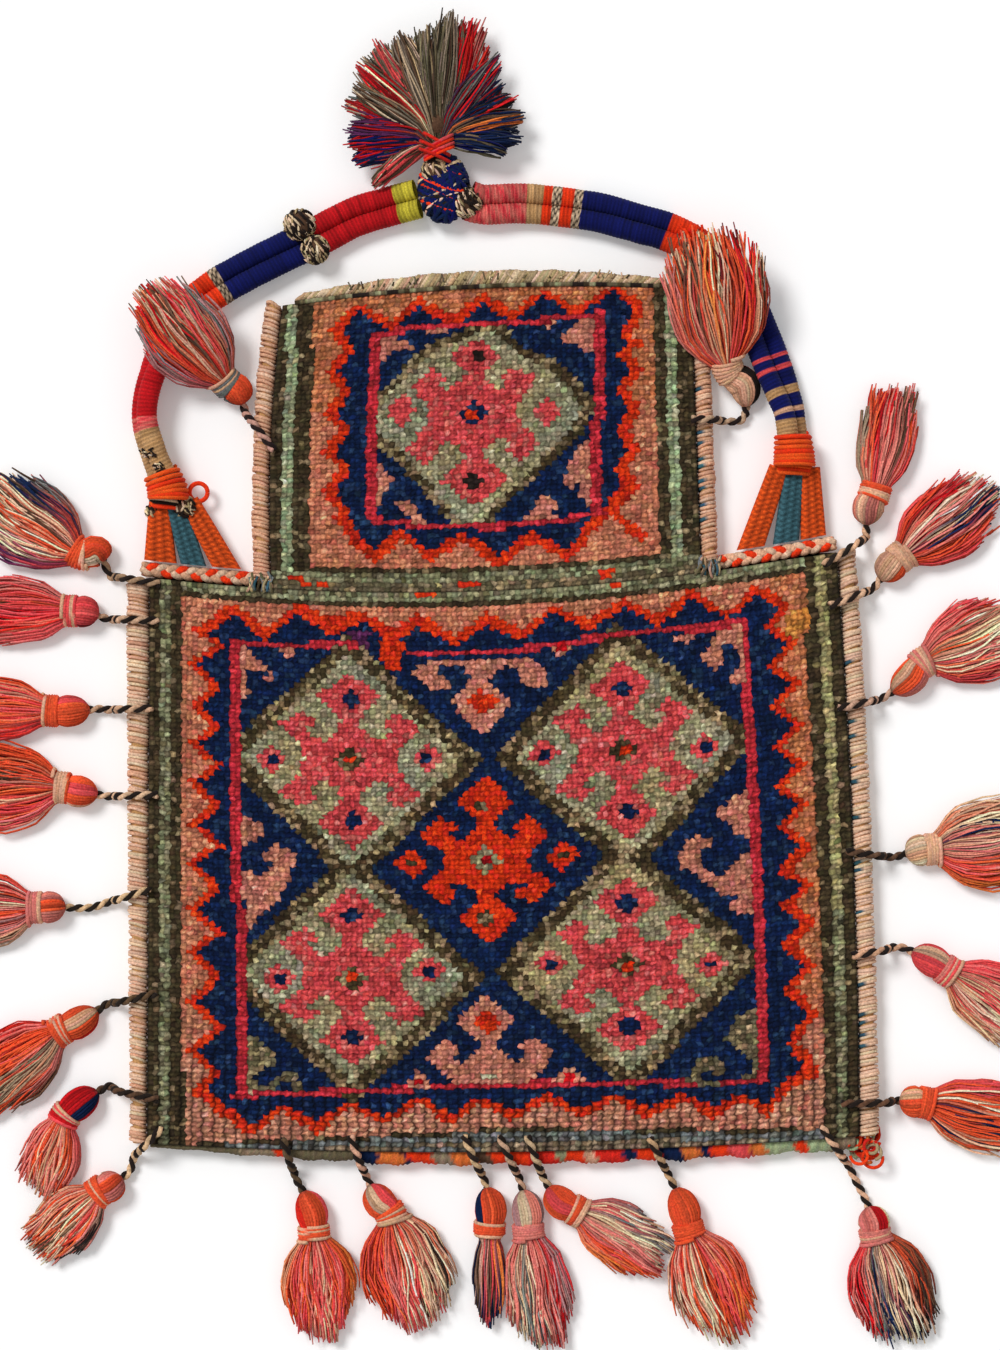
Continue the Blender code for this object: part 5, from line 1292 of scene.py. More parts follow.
# %% [markdown]
# ## Overcast edges
# Thick wool wraps round the edge of the bag from end to end and holds face and back together. Each wrap is
# one yarn round a rounded strip. The wraps lean a little, and here and there an older blue stitch shows on
# the side of the pile.

# %% Wrap the edges
BINDING_PITCH, BINDING_YARN, WRAP_RADIUS = 0.0021, 0.0020, 0.00152
NECK_BINDING_FOOT = 0.0030
BRAID_WIDTH, BRAID_HEIGHT = 0.0085, 0.0120


def rounded(turn, power):
    """Across and above of a rounded rectangle at these angles."""
    c, s = np.cos(turn), np.sin(turn)
    reach = (abs(c) ** power + abs(s) ** power) ** (-1 / power)
    return c * reach, s * reach


def sew_foot(basket, place, outward, width, rng):
    """Stitches of old blue and grey wool that hold the foot of the neck's binding to the braid."""
    step = np.linspace(0, 1, 7)
    for k in range(17):
        aside = (k / 16 * 1.35 - 0.18) * width
        path = np.empty((7, 3))
        path[:, :2] = place + outward * aside + outward * 0.0012 * np.sin(step * 3 + k)[:, None]
        path[:, 0] += rng.uniform(-0.0012, 0.0012) + rng.uniform(-0.0025, 0.0025) * step
        path[:, 1] += 0.0042 * rng.uniform(0.5, 1.3) - step * 0.0085 * rng.uniform(0.7, 1.1)
        path[:, 2] = 0.0158 + 0.0010 * np.sin(np.pi * step) - 0.0012 * step
        name = ("slate", "khaki", "beige", "slate", "guard", "teal", "hem")[k % 7]
        basket.yarn(path, 0.0009, name, rng)


# the frayed bundle at the corner: its middle, and how far its yarns reach across and up
FRAY_MIDDLE, FRAY_REACH = (0.2055, -0.2590, 0.0070), (0.0085, 0.0095, 0.0050)


def fray(basket, rng):
    """Short curly ends of wool that stick out of the bag's lower right corner."""
    turn = np.linspace(0, 1, 14)
    for k in range(30):
        start = np.array(FRAY_MIDDLE) + rng.uniform(-1, 1, 3) * FRAY_REACH * np.array((0.8, 0.9, 0.9))
        bend, size = rng.uniform(0, 6.28), rng.uniform(0.0028, 0.0060)
        curl = bend + turn * rng.uniform(2.5, 5.5) * (1 if k % 2 else -1)
        path = start + np.stack([size * np.cos(curl), size * np.sin(curl), 0.002 * np.sin(curl * 1.3)], -1)
        path[:, 2] = np.maximum(path[:, 2], 0.0014)
        name = ("orange", "orange", "scarlet", "hem", "orange", "sea", "amber")[k % 7]
        basket.yarn(path, 0.0010, name, rng, 5)


def strip_across(part, inner, width):
    """The middle and the half width of a binding's wool, at these parts of its length."""
    half = (width[0] + (width[1] - width[0]) * part) / 2
    return inner[0] + (inner[1] - inner[0]) * part**EDGE_BEND + half, half - BINDING_YARN / 2


def fill_binding(basket, edge, outward, inner, width, ends):
    """The plain strip inside the wraps."""
    line = edge(np.linspace(*ends, 30))
    way = unit(np.gradient(line, axis=0))
    side = np.stack([way[:, 1], -way[:, 0]], 1) * outward
    across, above = rounded(np.linspace(0, 2 * np.pi, 12, endpoint=False), 2.8)
    middle, half = strip_across(np.linspace(0, 1, 30)[:, None], inner, width)
    grid = np.empty((30, 12, 3))
    grid[..., :2] = line[:, None] + side[:, None] * (middle + half * 0.9 * across)[..., None]
    grid[..., 2] = BINDING_HEIGHT / 2 + BINDING_HEIGHT * 0.42 * above
    basket.cloth(grid, DYES["tan"], closed=True)


def overcast(node, number, edge, outward, inner, width, ends, colours, blue_rows=()):
    """Wraps along an edge between two shares of it, this far off it and this wide at its ends."""
    rng = np.random.default_rng(300 + number)
    table = np.linspace(*ends, 400)
    run = lengths(edge(table))
    count = int(run[-1] / BINDING_PITCH)
    spot = (np.arange(count) + 0.5) * run[-1] / count + rng.normal(0, 0.00012, count)
    share = np.interp(spot, run, table)
    here = edge(share)
    way = unit(edge(share + 0.004) - edge(share - 0.004))
    side = np.stack([way[:, 1], -way[:, 0]], 1) * outward
    turn = np.linspace(0, 2 * np.pi, 14)
    across, above = rounded(turn, 2.8)
    middle, half = strip_across(np.linspace(0, 1, count)[:, None], inner, width)
    swell = 0.07 * np.sin(spot * 130 + 3 * np.sin(spot * 57 + number))[:, None]
    swell = 1 + swell + rng.normal(0, 0.025, (count, 1))
    lean = BINDING_PITCH * ((0.4 + rng.normal(0, 0.25, (count, 1))) * np.sin(turn + 0.6) + 0.3 * across)
    lean = lean + rng.normal(0, 0.00022, (count, 1))
    paths = np.empty((count, 14, 3))
    reach = middle + CLEARANCE + half * across * swell
    paths[..., :2] = here[:, None] + side[:, None] * reach[..., None] + way[:, None] * lean[..., None]
    tall = (BINDING_HEIGHT - BINDING_YARN) / 2
    paths[..., 2] = BINDING_HEIGHT / 2 + tall * above * np.minimum(swell, 1.03)
    names = pick(rng, colours, count)
    shade = dye(names, rng, 0.08, 0.02)[:, None] * np.exp(rng.normal(0, 0.05, (count, 14, 1)))
    for row in blue_rows:
        near = abs(share - row) * run[-1] < BINDING_PITCH / 2
        seen = (across < 0.1) & (above > 0)
        shade[np.ix_(near, seen)] = dye(["teal"], rng)[0]
    basket = Basket()
    lift = np.broadcast_to(np.append(way, np.zeros((count, 1)), 1)[:, None], paths.shape)
    thick = WRAP_RADIUS * np.exp(rng.normal(0, 0.10, (count, 1)))
    basket.yarns(paths, thick, shade, sides=6, lift=lift, flat=0.7)
    fill_binding(basket, edge, outward, inner, width, ends)
    if node.startswith("neck"):
        sew_foot(basket, here[0], side[0], width[0], rng)
    if node == "body_binding_right":
        fray(basket, rng)
    return keep(basket.make("wrapped_" + node, YARN_WOOL), "binding", node)


# the shares of the edge's height at which an older blue stitch shows
BLUE_ROWS = [row / BODY_KNOTS[1] for row in (93, 82, 79, 73, 70, 63, 54, 52, 44, 30, 24, 22, 20, 18)]
NECK_BLUE_ROWS = [(row - 15) / NECK_KNOTS[1] for row in (27, 30, 33, 35, 38, 40, 43, 46, 55)]
body_ends = (0.0, 1 - BRAID_WIDTH * 0.2 / BODY_LEFT_HEIGHT)
neck_ends = (NECK_BINDING_FOOT / NECK_HEIGHT, 1.0)
narrow = (NECK_BINDING_WIDTH, NECK_BINDING_WIDTH)
overcast("body_binding_left", 1, BODY.left, -1, (0, 0), (0.0098, 0.0128), body_ends,
         ("peach", "cream", "edge", "edge"))
overcast("body_binding_right", 2, BODY.right, 1, (0, 0.0052), (0.0112, 0.0106), body_ends,
         ("edge", "cream", "edge", "edge"), BLUE_ROWS)
overcast("neck_binding_left", 3, NECK.left, -1, (0, 0), narrow, neck_ends, ("peach", "peach", "edge"))
overcast("neck_binding_right", 4, NECK.right, 1, (0, 0), narrow, neck_ends, ("peach", "edge", "peach"),
         NECK_BLUE_ROWS)
print("edges wrapped")

# %% [markdown]
# ## Shoulder braids
# A plait of two cream strands and an orange one finishes each shoulder. A plait of three is a simple
# formula: every strand swings from side to side once in a turn and up and down twice, a third of a turn
# after the one before.

# %% Plait the shoulders
PLAIT_PITCH, PLAIT_STRAND, PLAIT_DEPTH = 0.0165, 0.0021, 0.0011


def shoulder(side, share):
    """A place on the shoulder line, from the body's corner to the neck's binding."""
    room = (NECK_BINDING_WIDTH + 4 * CLEARANCE) / BODY_TOP_WIDTH
    if side == "left":
        return BODY.top((NECK_START - room) * share - 0.012 * (1 - share))
    return BODY.top(1.012 + (NECK_END + room - 1.012) * share)


def braid_point(side, share, rise=0.0):
    here = shoulder(side, share)
    return np.array((here[0], here[1] + CLEARANCE + BRAID_WIDTH / 2 + rise, BRAID_HEIGHT / 2 + CLEARANCE))


def plait(basket, line, rng, start):
    """Three strands plaited along a line of points."""
    _, side, up = frames(line)
    for strand, colour in enumerate(("edge", "orange", "peach")):
        turn = (2 * np.pi * (lengths(line) / PLAIT_PITCH + strand / 3) + start)[:, None]
        path = line + PLAIT_STRAND * side * np.sin(turn) + PLAIT_DEPTH * up * np.sin(2 * turn)
        shade = dye([colour], rng, 0.08, 0.01)[0] * np.exp(rng.normal(0, 0.14, (1, len(line), 1)))
        basket.yarns(path[None], PLAIT_STRAND, shade, sides=7)


def make_braid(side, number):
    rng = np.random.default_rng(400 + number)
    basket = Basket()
    line = np.array([braid_point(side, t) for t in np.linspace(0, 1, 150)])
    for height, start in ((0.0026, 0.0), (-0.0026, 1.0)):
        plait(basket, line + (0, 0, height), rng, start)
    return keep(basket.make("plaited_shoulder_" + side, YARN_WOOL), "braid", "shoulder_braid_" + side)


braids = [make_braid(side, i) for i, side in enumerate(("left", "right"))]
print("shoulders plaited")

# %% [markdown]
# ## The hems of the mouth
# The mouth ends in a folded cream hem on the face and a thinner one on the back. Thick slanting stitches
# hold them, a dark line runs along the pile, and short dark ends stick out at the top.

# %% Sew the hems
HEM_DEPTH, HEM_THICKNESS = 0.0090, 0.0050


def edge_hem(basket, high, rng):
    """What the front hem has beside its stitches: dark ends at the top and a dark line along the pile."""
    ends = rng.uniform(0.12, 0.86, 44)
    foot = NECK.top(ends)
    rise = 0.0058 + rng.uniform(0, 0.0030, 44)
    slant = rng.normal(0, 0.0006, 44)
    tufts = np.empty((44, 4, 3))
    for k in range(4):
        tufts[:, k, 0] = foot[:, 0] + slant * k
        tufts[:, k, 1] = foot[:, 1] + 0.0040 + (rise - 0.0040) * k / 3
        tufts[:, k, 2] = high + 0.0002 - 0.0003 * k
    dark = pick(rng, ("khaki", "khaki", "hem", "cream", "guard"), 44)
    basket.yarns(tufts, 0.0006, dye(dark, rng)[:, None], sides=4)
    seam = NECK.top(np.linspace(0.03, 0.95, 260))
    line = np.column_stack([seam[:, 0], seam[:, 1] + 0.0004, np.full(260, FACE_TOP + 0.0002)])
    stitch = np.repeat(pick(rng, ("black", "green", "khaki", "guard"), 65), 4)
    basket.yarns(line[None], 0.0013, dye(stitch, rng, 0.2)[None], sides=6)


def sew_hem(node, record_slot, low, high, number, radius, colours):
    """Slanting stitches round the edge of the mouth, between these two heights."""
    rng = np.random.default_rng(600 + number)
    count = 120
    share = np.linspace(0.045, 0.925, count)
    edge = NECK.top(share)
    depth = HEM_DEPTH * (0.55 + 0.45 * np.sin(np.pi * np.minimum(1, share * 1.1)))
    depth = depth * (1 + 0.05 * np.sin(share * 60) + rng.normal(0, 0.02, count))
    across, above = rounded(np.linspace(0, 2 * np.pi, 13), 2.6)
    paths = np.empty((count, 13, 3))
    paths[..., 0] = edge[:, :1] + 0.0024 * across + rng.normal(0, 0.0003, (count, 1))
    paths[..., 1] = edge[:, 1:] + CLEARANCE + 0.0012 + (depth[:, None] - 0.0022) * (across + 1) / 2
    paths[..., 2] = (low + high) / 2 + ((high - low) / 2 - 0.8 * radius) * above
    paths[..., 2] += 0.0003 * np.sin(share * 90)[:, None]
    names = pick(rng, colours, count)
    basket = Basket()
    basket.yarns(paths, radius, dye(names, rng, 0.09)[:, None], sides=5, lift=(1.0, 0, 0))
    if record_slot == "binding":
        edge_hem(basket, high, rng)
    return keep(basket.make("sewn_" + node, YARN_WOOL), record_slot, node)


sew_hem("mouth_hem_front", "binding", FACE_BASE, FACE_BASE + HEM_THICKNESS, 1, 0.00135,
        ("cream", "hem", "beige", "hem"))
sew_hem("mouth_hem_back", "flatweave", 0.0, BACK_THICKNESS, 2, 0.0009, ("hem", "beige", "khaki"))
print("hems sewn")

# %% [markdown]
# ## The handle
# Each half of the handle is a pair of ropes that are wound tightly with coloured yarn, so the rope shows
# fine rings in bands of colour. The bands change at known places along the rope. At the foot the pair is
# gathered in a collar, and three woven legs spread from the collar to the shoulder braid.

# %% Find the handle's way
ROPE_RADIUS, LEG_THICKNESS, LEG_TOP_WIDTH = 0.0058, 0.0080, 0.0110
COLLAR_HEIGHT = 0.0150
KNOT_WIDTH, KNOT_LENGTH, KNOT_HEIGHT = 0.0290, 0.0390, 0.0190
HANDLE_RISE, KNOT_SHARE = 0.0560, 0.395
# the collar's middle, off the middle of its legs' feet
COLLAR_OFF = {"left": (-0.0139, 0.0460), "right": (0.0056, 0.0526)}
# on the way from collar to knot: the share of the way, how far beside it as a part of its length, and the
# pair's roll in degrees
ARCH = {
    "left": [
        (0.046, 0.085, 68), (0.093, 0.158, 70), (0.145, 0.2, 70), (0.205, 0.228, 68), (0.27, 0.248, 50),
        (0.345, 0.262, 32), (0.421, 0.262, 20), (0.489, 0.246, 12), (0.573, 0.216, 8), (0.664, 0.178, 4),
        (0.758, 0.137, 0), (0.855, 0.097, 0), (0.935, 0.047, 0),
    ],
    "right": [
        (0.067, -0.07, 55), (0.119, -0.106, 40), (0.171, -0.138, 26), (0.229, -0.173, 20),
        (0.306, -0.217, 30), (0.384, -0.25, 36), (0.477, -0.257, 24), (0.568, -0.241, 12),
        (0.648, -0.21, 10), (0.735, -0.173, 6), (0.82, -0.125, 0), (0.9, -0.072, 0),
    ],
}
END_ANGLE, CROWN_ANGLE = {"left": 193, "right": -15}, 118
# each leg's share of the shoulder, its width at the foot and its top's place off the collar in millimetres
LEGS = {
    "left": [(0.16, 18.0, -5.0), (0.46, 14.0, 3.5), (0.76, 16.0, 11.5)],
    "right": [(0.18, 14.0, 9.0), (0.42, 14.5, 0.5), (0.73, 15.5, -8.0)],
}
LEG_HEIGHTS = (0.0070, 0.0085)


def knot_middle():
    mouth = NECK.top(KNOT_SHARE)
    return np.array((mouth[0], mouth[1] + HANDLE_RISE, KNOT_HEIGHT / 2 + CLEARANCE))


def off_knot(angle):
    """The place where a piece that comes from this angle meets the knot, and the way out from there."""
    way = np.array((math.cos(math.radians(angle)), math.sin(math.radians(angle)), 0))
    half = np.array((KNOT_WIDTH / 2, KNOT_LENGTH / 2, 0))
    return knot_middle() + half**2 * way / np.linalg.norm(half * way) + way * CLEARANCE, way


def collar_middle(side):
    middle = sum(braid_point(side, leg[0]) for leg in LEGS[side]) / len(LEGS[side])
    return np.array((*(middle[:2] + COLLAR_OFF[side]), COLLAR_HEIGHT / 2 + CLEARANCE))


def handle_path(side):
    """The places on the middle of a pair of ropes, with the pair's roll at each."""
    start = collar_middle(side)
    end, way = off_knot(END_ANGLE[side])
    along = (end - start) * (1, 1, 0)
    beside = np.array((-along[1], along[0], 0))
    places, rolls = [start], [60]
    for share, offset, roll in ARCH[side]:
        flat = start + along * share + beside * offset
        height = ROPE_RADIUS * (1 + 0.9 * abs(math.sin(math.radians(roll)))) + CLEARANCE
        places.append(np.array((flat[0], flat[1], height)))
        rolls.append(roll)
    places += [end + way * 0.008, end]
    places[0][2] = places[1][2]
    places[-2][2] = (places[-3][2] + end[2]) / 2
    return places, rolls + [0, 0]


print("knot at", knot_middle())

# %% Wind the ropes
# where each band of winding ends, in millimetres right of and above the middle of the frame, from the
# collar to the knot, and its dye
BANDS = {
    "left": (
        ((-182, 111), "tan"), ((-189, 134), "tan"), ((-192, 141), "pink"), ((-163, 206), "red"),
        ((-151, 214), "orange"), ((-147, 217), "speckle"), ((-103, 241), "blue"), ((-51, 259), "red"),
        ((-20, 270), "lime"),
    ),
    "right": (
        ((170, 132), "orange"), ((171, 141), "tan"), ((169, 145), "blue"), ((168, 148), "peach"),
        ((166, 155), "blue"), ((164, 159), "tan"), ((163, 169), "blue"), ((162, 171), "rose"),
        ((160, 175), "blue"), ((159, 177), "rose"), ((126, 232), "blue"), ((99, 247), "orange"),
        ((52, 263), "blue"), ((47, 263), "speckle"), ((40, 264), "orange"), ((35, 264), "speckle"),
        ((30, 264), "orange"), ((21, 265), "tan"), ((-11, 266), "pink"), ((-20, 264), "speckle"),
    ),
}
WINDING = 0.0021


def band_names(line, run, bands):
    """The colour's name at every point of the rope's line."""
    ends = [run[np.argmin(np.linalg.norm(line[:, :2] - np.array(place) * MM, axis=1))]
            for place, _ in bands]
    picks = np.searchsorted(np.maximum.accumulate(ends), run)
    return np.array([name for _, name in bands], dtype=object)[np.minimum(picks, len(bands) - 1)]


def wind_rope(basket, line, bands, rng, slant):
    """A rope under fine windings, in bands of colour."""
    run = lengths(line)
    fine = np.arange(0, run[-1], WINDING / 4)
    line = np.stack([np.interp(fine, run, line[:, i]) for i in range(3)], -1)
    names = band_names(line, fine, bands)
    _, side, up = frames(line)
    sides = 13
    turn = 2 * np.pi * np.arange(sides) / sides
    phase = fine[:, None] / WINDING + turn / (2 * np.pi) + slant * np.sin(turn)
    ridge = 0.5 + 0.5 * np.cos(2 * np.pi * phase)
    loose = np.interp(fine, np.linspace(0, fine[-1], 40), 1 + rng.normal(0, 0.018, 40))[:, None]
    size = ROPE_RADIUS * (0.95 + 0.055 * ridge) * loose
    grid = line[:, None] + size[..., None] * (
        np.cos(turn)[:, None] * side[:, None] + np.sin(turn)[:, None] * up[:, None])
    winding = phase.astype(int)
    shades = np.empty((*winding.shape, 3))
    for name in set(names):
        rows = names == name
        if name == "speckle":
            dark = ((phase * 1.5 + 5 * turn / np.pi).astype(int) % 2 == 0)[rows]
            shades[rows] = np.where(dark[..., None], DYES["black"], DYES["cream"])
        else:
            shades[rows] = DYES["crimson" if name == "pink" else name]
    light = np.exp(rng.normal(0, 0.13, winding.max() + 2))[winding]
    for name, pale in (("pink", 0.26), ("red", 0.0), ("tan", 0.12)):
        rows = names == name
        spots = np.sin(turn * 2 + winding[rows] * 1.7) * 0.5 + rng.random((rows.sum(), sides))
        spots = pale * spots.clip(0, 1)[..., None]
        shades[rows] = shades[rows] * (1 - spots) + np.array(DYES["cream"]) * spots
    # Painted shade: the grooves between the windings are darker.
    shades = np.clip(shades * (light * (0.62 + 0.42 * ridge))[..., None], 0, 0.9)
    basket.cloth(grid, shades, closed=True)


def rope_lines(side):
    """The middle lines of the two ropes of a pair, which roll round each other."""
    places, rolls = handle_path(side)
    shares = np.linspace(0, 1, 260)
    line = curve(places, shares)
    roll = np.radians(np.interp(shares, np.linspace(0, 1, len(rolls)), rolls))
    roll = roll[:, None] * (1 if side == "left" else -1)
    _, across, up = frames(line)
    apart = 0.92 * ROPE_RADIUS * (np.cos(roll) * across + np.sin(roll) * up)
    return line + apart, line - apart


# %% [markdown]
# The collar, the knobs and the legs are worked in other ways: the collar is a coil, a knob is a ball of
# short black and cream stitches, and a leg is woven in soumak, whose slanting stitches lie in chevrons.

# %% Make the collar, the knobs and the legs
STITCH_LENGTH, COLLAR_YARN, KNOB_YARN = 0.0030, 0.0013, 0.0008


def coil(basket, route, wide, tall, names, rng):
    """A yarn wound closely round a route of points, as an oval of this half width and half height."""
    points = 16
    count = max(3, round(lengths(np.array(route))[-1] / (1.75 * COLLAR_YARN))) * points
    shares = np.linspace(0, 1, count)
    way, side, up = frames(curve(route, shares))
    turn = 2 * np.pi * np.arange(count) / points
    wide = np.interp(shares, np.linspace(0, 1, len(wide)), wide)
    path = curve(route, shares) + side * (wide * np.cos(turn))[:, None] + up * (tall * np.sin(turn))[:, None]
    shade = dye([names[i // points % len(names)] for i in range(count)], rng, 0.05)
    basket.yarns(path[None], COLLAR_YARN, shade[None], sides=5, lift=way[None])


def knob(basket, middle, radius, rng, count=150, tall=1.0):
    """A ball of short black and cream stitches that mostly run one way."""
    z = rng.uniform(-0.9, 1, count)
    turn = rng.uniform(0, 2 * np.pi, count)
    flat = np.sqrt(1 - z**2)
    out = np.stack([flat * np.cos(turn), flat * np.sin(turn), z], -1)
    along = unit(np.cross(out, np.array((0.8, 0.5, 0.2)) + rng.normal(0, 0.30, (count, 3))))
    step = np.linspace(-0.42, 0.42, 5)[:, None]
    points = out[:, None] * np.cos(step) + along[:, None] * np.sin(step)
    picks = [("black", "hem", "black", "cream")[i % 4] for i in range(count)]
    basket.yarns(middle + points * (radius * np.array((1, 1, tall))),
                 np.array((0.3, 1, 1, 1, 0.3)) * KNOB_YARN, dye(picks, rng, 0.2)[:, None])
    # A brown ball under the stitches shows between them as painted shade.
    shade_core = 0.93 * radius
    ball = np.array([(0, 0, t) for t in np.linspace(-0.95, 0.95, 9)])
    size = shade_core * np.sqrt(1 - ball[:, 2] ** 2)
    basket.yarns((middle + ball * shade_core * tall)[None], size[None], DYES["brown"], sides=12, lift=(0, 1.0, 0))


def soumak_leg(basket, foot, top, along, foot_width, colour, rng):
    """A woven strap that stands along the shoulder line and turns square to its own way further up."""
    rows, sides = 84, 20
    t = np.linspace(0, 1, rows)[:, None]
    way = unit(top - foot)
    side = unit(np.cross(way, (0, 0, 1.0)))
    up = np.cross(side, way)
    side = (along * (1 - t) + side * t)[:, None]
    across, above = rounded(2 * np.pi * np.arange(sides) / sides, 3.4)
    wide = foot_width + (LEG_TOP_WIDTH - foot_width) * t
    column = (across * 1.5 + 1.5).astype(int) % 2 * 2 - 1
    phase = t * np.linalg.norm(top - foot) / STITCH_LENGTH + column * across * 2.2
    stitch = 0.5 + 0.5 * np.cos(2 * np.pi * phase)
    furrow = 1 - 0.5 * np.exp(-((abs(across) - 0.33) / 0.10) ** 2)
    tall = above * LEG_THICKNESS / 2 * (0.93 + 0.09 * stitch * furrow)
    line = foot + (top - foot) * t
    grid = line[:, None] + side * (across * wide / 2)[..., None] + up * tall[..., None]
    # Painted shade: the leg is darker between the stitches and in the furrows.
    shade = np.array(DYES[colour]) * ((0.46 + 0.70 * stitch) * furrow)[..., None]
    shade = shade * np.exp(rng.normal(0, 0.12, (rows, sides, 1)))
    basket.cloth(grid, np.clip(shade, 0, 0.9), closed=True)


def handle_half(side, number):
    """Two ropes, the collar round their feet and the three legs, with the random draws and the collar's
    middle for what comes on top."""
    rng = np.random.default_rng(700 + number)
    basket = Basket()
    for line, slant in zip(rope_lines(side), (0.15, -0.15)):
        wind_rope(basket, line, BANDS[side], rng, slant)
    collar = collar_middle(side)
    first = handle_path(side)[0]
    route = [collar - (0, 0.010, 0), collar, first[1], first[2]]
    upper, lower = (curve(route, np.linspace(*part)) for part in ((0.20, 0.52, 6), (0.0, 0.20, 4)))
    upper[:, 2] = 0.0124
    plain = ("flame", "orange", "flame")
    coil(basket, upper, (0.0106, 0.0103, 0.0092), 0.0110, plain, rng)
    mixed = ("orange", "black", "cream", "black")
    coil(basket, lower, (0.0092, 0.0105), 0.0078, mixed if side == "left" else plain, rng)
    for (share, foot_width, top), colour in zip(LEGS[side], ("flame", "petrol", "flame")):
        foot = braid_point(side, share, BRAID_WIDTH / 2 + 3 * CLEARANCE)
        foot[2] = LEG_HEIGHTS[0]
        head = np.array((collar[0] + top * MM, collar[1] - 0.006, LEG_HEIGHTS[1]))
        along = braid_point(side, share + 0.05) - braid_point(side, share - 0.05)
        along *= np.sign(along[0]) / abs(along[0])
        soumak_leg(basket, foot, head, along, foot_width * MM, colour, rng)
    return basket, rng, collar


# %% Put the handle's halves together
LEFT_KNOBS = ((-104.5, 247.5, 0.0088), (-96.0, 234.0, 0.0078))
# black and cream stitches on the tan winding: middle, half width and half height in millimetres
LEFT_STITCHES = ((-187.5, 121.5, 4.6, 2.6), (-181.0, 113.5, 2.8, 2.2))
LEFT_LOOP = (-160.3, 100.5, 0.0050)


def stitch_on(basket, line, groups, rng):
    """Short stitches on top of a rope, round these places."""
    for x, y, wide, tall in groups:
        for k in range(int(wide * 5)):
            place = np.array((x + rng.uniform(-wide, wide), y + rng.uniform(-tall, tall))) * MM
            near = line[np.argmin(np.linalg.norm(line[:, :2] - place, axis=1))]
            off = np.linalg.norm(near[:2] - place)
            rise = math.sqrt(max(0, (ROPE_RADIUS * 1.04) ** 2 - off**2))
            way = np.array((0.0011, -0.0010 + 0.0008 * (k % 3), 0))
            path = np.array([(*place, near[2] + rise)] * 3) + way * np.array([[-1], [0], [1]])
            path[1, 2] += 0.0004
            basket.yarn(path, 0.0006, ("black", "cream", "black")[k % 3], rng)


def make_left_handle():
    basket, rng, collar = handle_half("left", 1)
    upper_rope = max(rope_lines("left"), key=lambda line: line[20, 2])
    stitch_on(basket, upper_rope, LEFT_STITCHES, rng)
    for x, y, radius in LEFT_KNOBS:
        knob(basket, np.array((x * MM, y * MM, 0.0095)), radius, rng)
    turn = np.linspace(0, 2 * np.pi, 25)
    x, y, radius = LEFT_LOOP
    ring = np.stack([x * MM + radius * np.cos(turn), y * MM + radius * np.sin(turn),
                     np.full(25, 0.0085)], -1)
    basket.yarn(ring, 0.0014, "orange", rng, 6)
    knob(basket, collar + (0.0095, -0.009, 0.003), 0.0060, rng, 80)
    knob(basket, collar + (-0.0085, -0.0115, 0.001), 0.0040, rng, 40)
    return keep(basket.make("roped_handle_left", WOUND_WOOL), "rope_red", "handle_left")


def make_right_handle():
    basket, rng, _ = handle_half("right", 2)
    ends = np.linspace(0, 1, 12)
    for k in range(26):
        start = np.array((111 + rng.uniform(-6, 7), 244 + rng.uniform(-5, 4), rng.uniform(11, 15))) * MM
        stop = start + np.array((rng.uniform(-4, 9), rng.uniform(-26, -12), rng.uniform(-2, 3))) * MM
        path = start + (stop - start) * ends[:, None]
        path[:, 0] += 0.0012 * np.sin(ends * 6 + k)
        basket.yarn(path, 0.0009, ("orange", "scarlet", "orange", "slate", "peach")[k % 5], rng)
    return keep(basket.make("roped_handle_right", WOUND_WOOL), "rope_navy", "handle_right")


print("handle halves:", make_left_handle().name, make_right_handle().name)

# %% [markdown]
# ## The knot
# Where the two halves meet, navy yarn with a few orange, cream and black turns is wound every way round
# them. It is a ball of crossing coils: each turn is an ellipse that is tilted its own way.

# %% Tie the knot
KNOT_YARN = 0.0013
# the coils' angle, their number and their dye
KNOT_COILS = ((62, 10, "blue"), (118, 9, "navy"), (20, 5, "blue"), (75, 4, "orange"), (150, 4, "navy"),
              (98, 3, "black"), (105, 3, "cream"))


def make_knot():
    rng = np.random.default_rng(801)
    basket = Basket()
    middle = knot_middle()
    half = np.array((KNOT_WIDTH, KNOT_LENGTH, KNOT_HEIGHT)) / 2 - KNOT_YARN
    turn = np.linspace(0, 2 * np.pi, 29)
    for angle, count, name in KNOT_COILS:
        for k in range(count):
            lean = math.radians(angle + rng.normal(0, 4))
            axis = unit(np.array((math.cos(lean), math.sin(lean), rng.normal(0, 0.18))))
            slide = (k + 0.5) / count * 1.5 - 0.75
            a = unit(np.cross(axis, (0, 0, 1.0)))
            b = np.cross(a, axis)
            ring = np.cos(turn)[:, None] * a + np.sin(turn)[:, None] * b
            ring = axis * slide + math.sqrt(1 - slide**2) * ring
            path = middle + ring * half * (1 + rng.uniform(0, 0.04))
            basket.yarn(path, KNOT_YARN, name, rng, 5, 0.12, axis)
    height, turn = np.linspace(-0.96, 0.96, 11)[:, None], turn[:-1]
    size = np.sqrt(1 - height**2)
    ball = np.stack(np.broadcast_arrays(np.cos(turn) * size, np.sin(turn) * size, height), -1)
    basket.cloth(middle + ball * half * 0.96, DYES["navy"], closed=True)
    knob(basket, middle + (-0.004, 0.009, 0.0035), 0.0080, rng, 120, 0.75)
    knob(basket, middle + (0.0125, -0.008, 0.001), 0.0086, rng, 130, 0.9)
    return keep(basket.make("tied_knot", WOUND_WOOL), "rope_navy", "handle_knot")


print("knot tied:", make_knot().name)

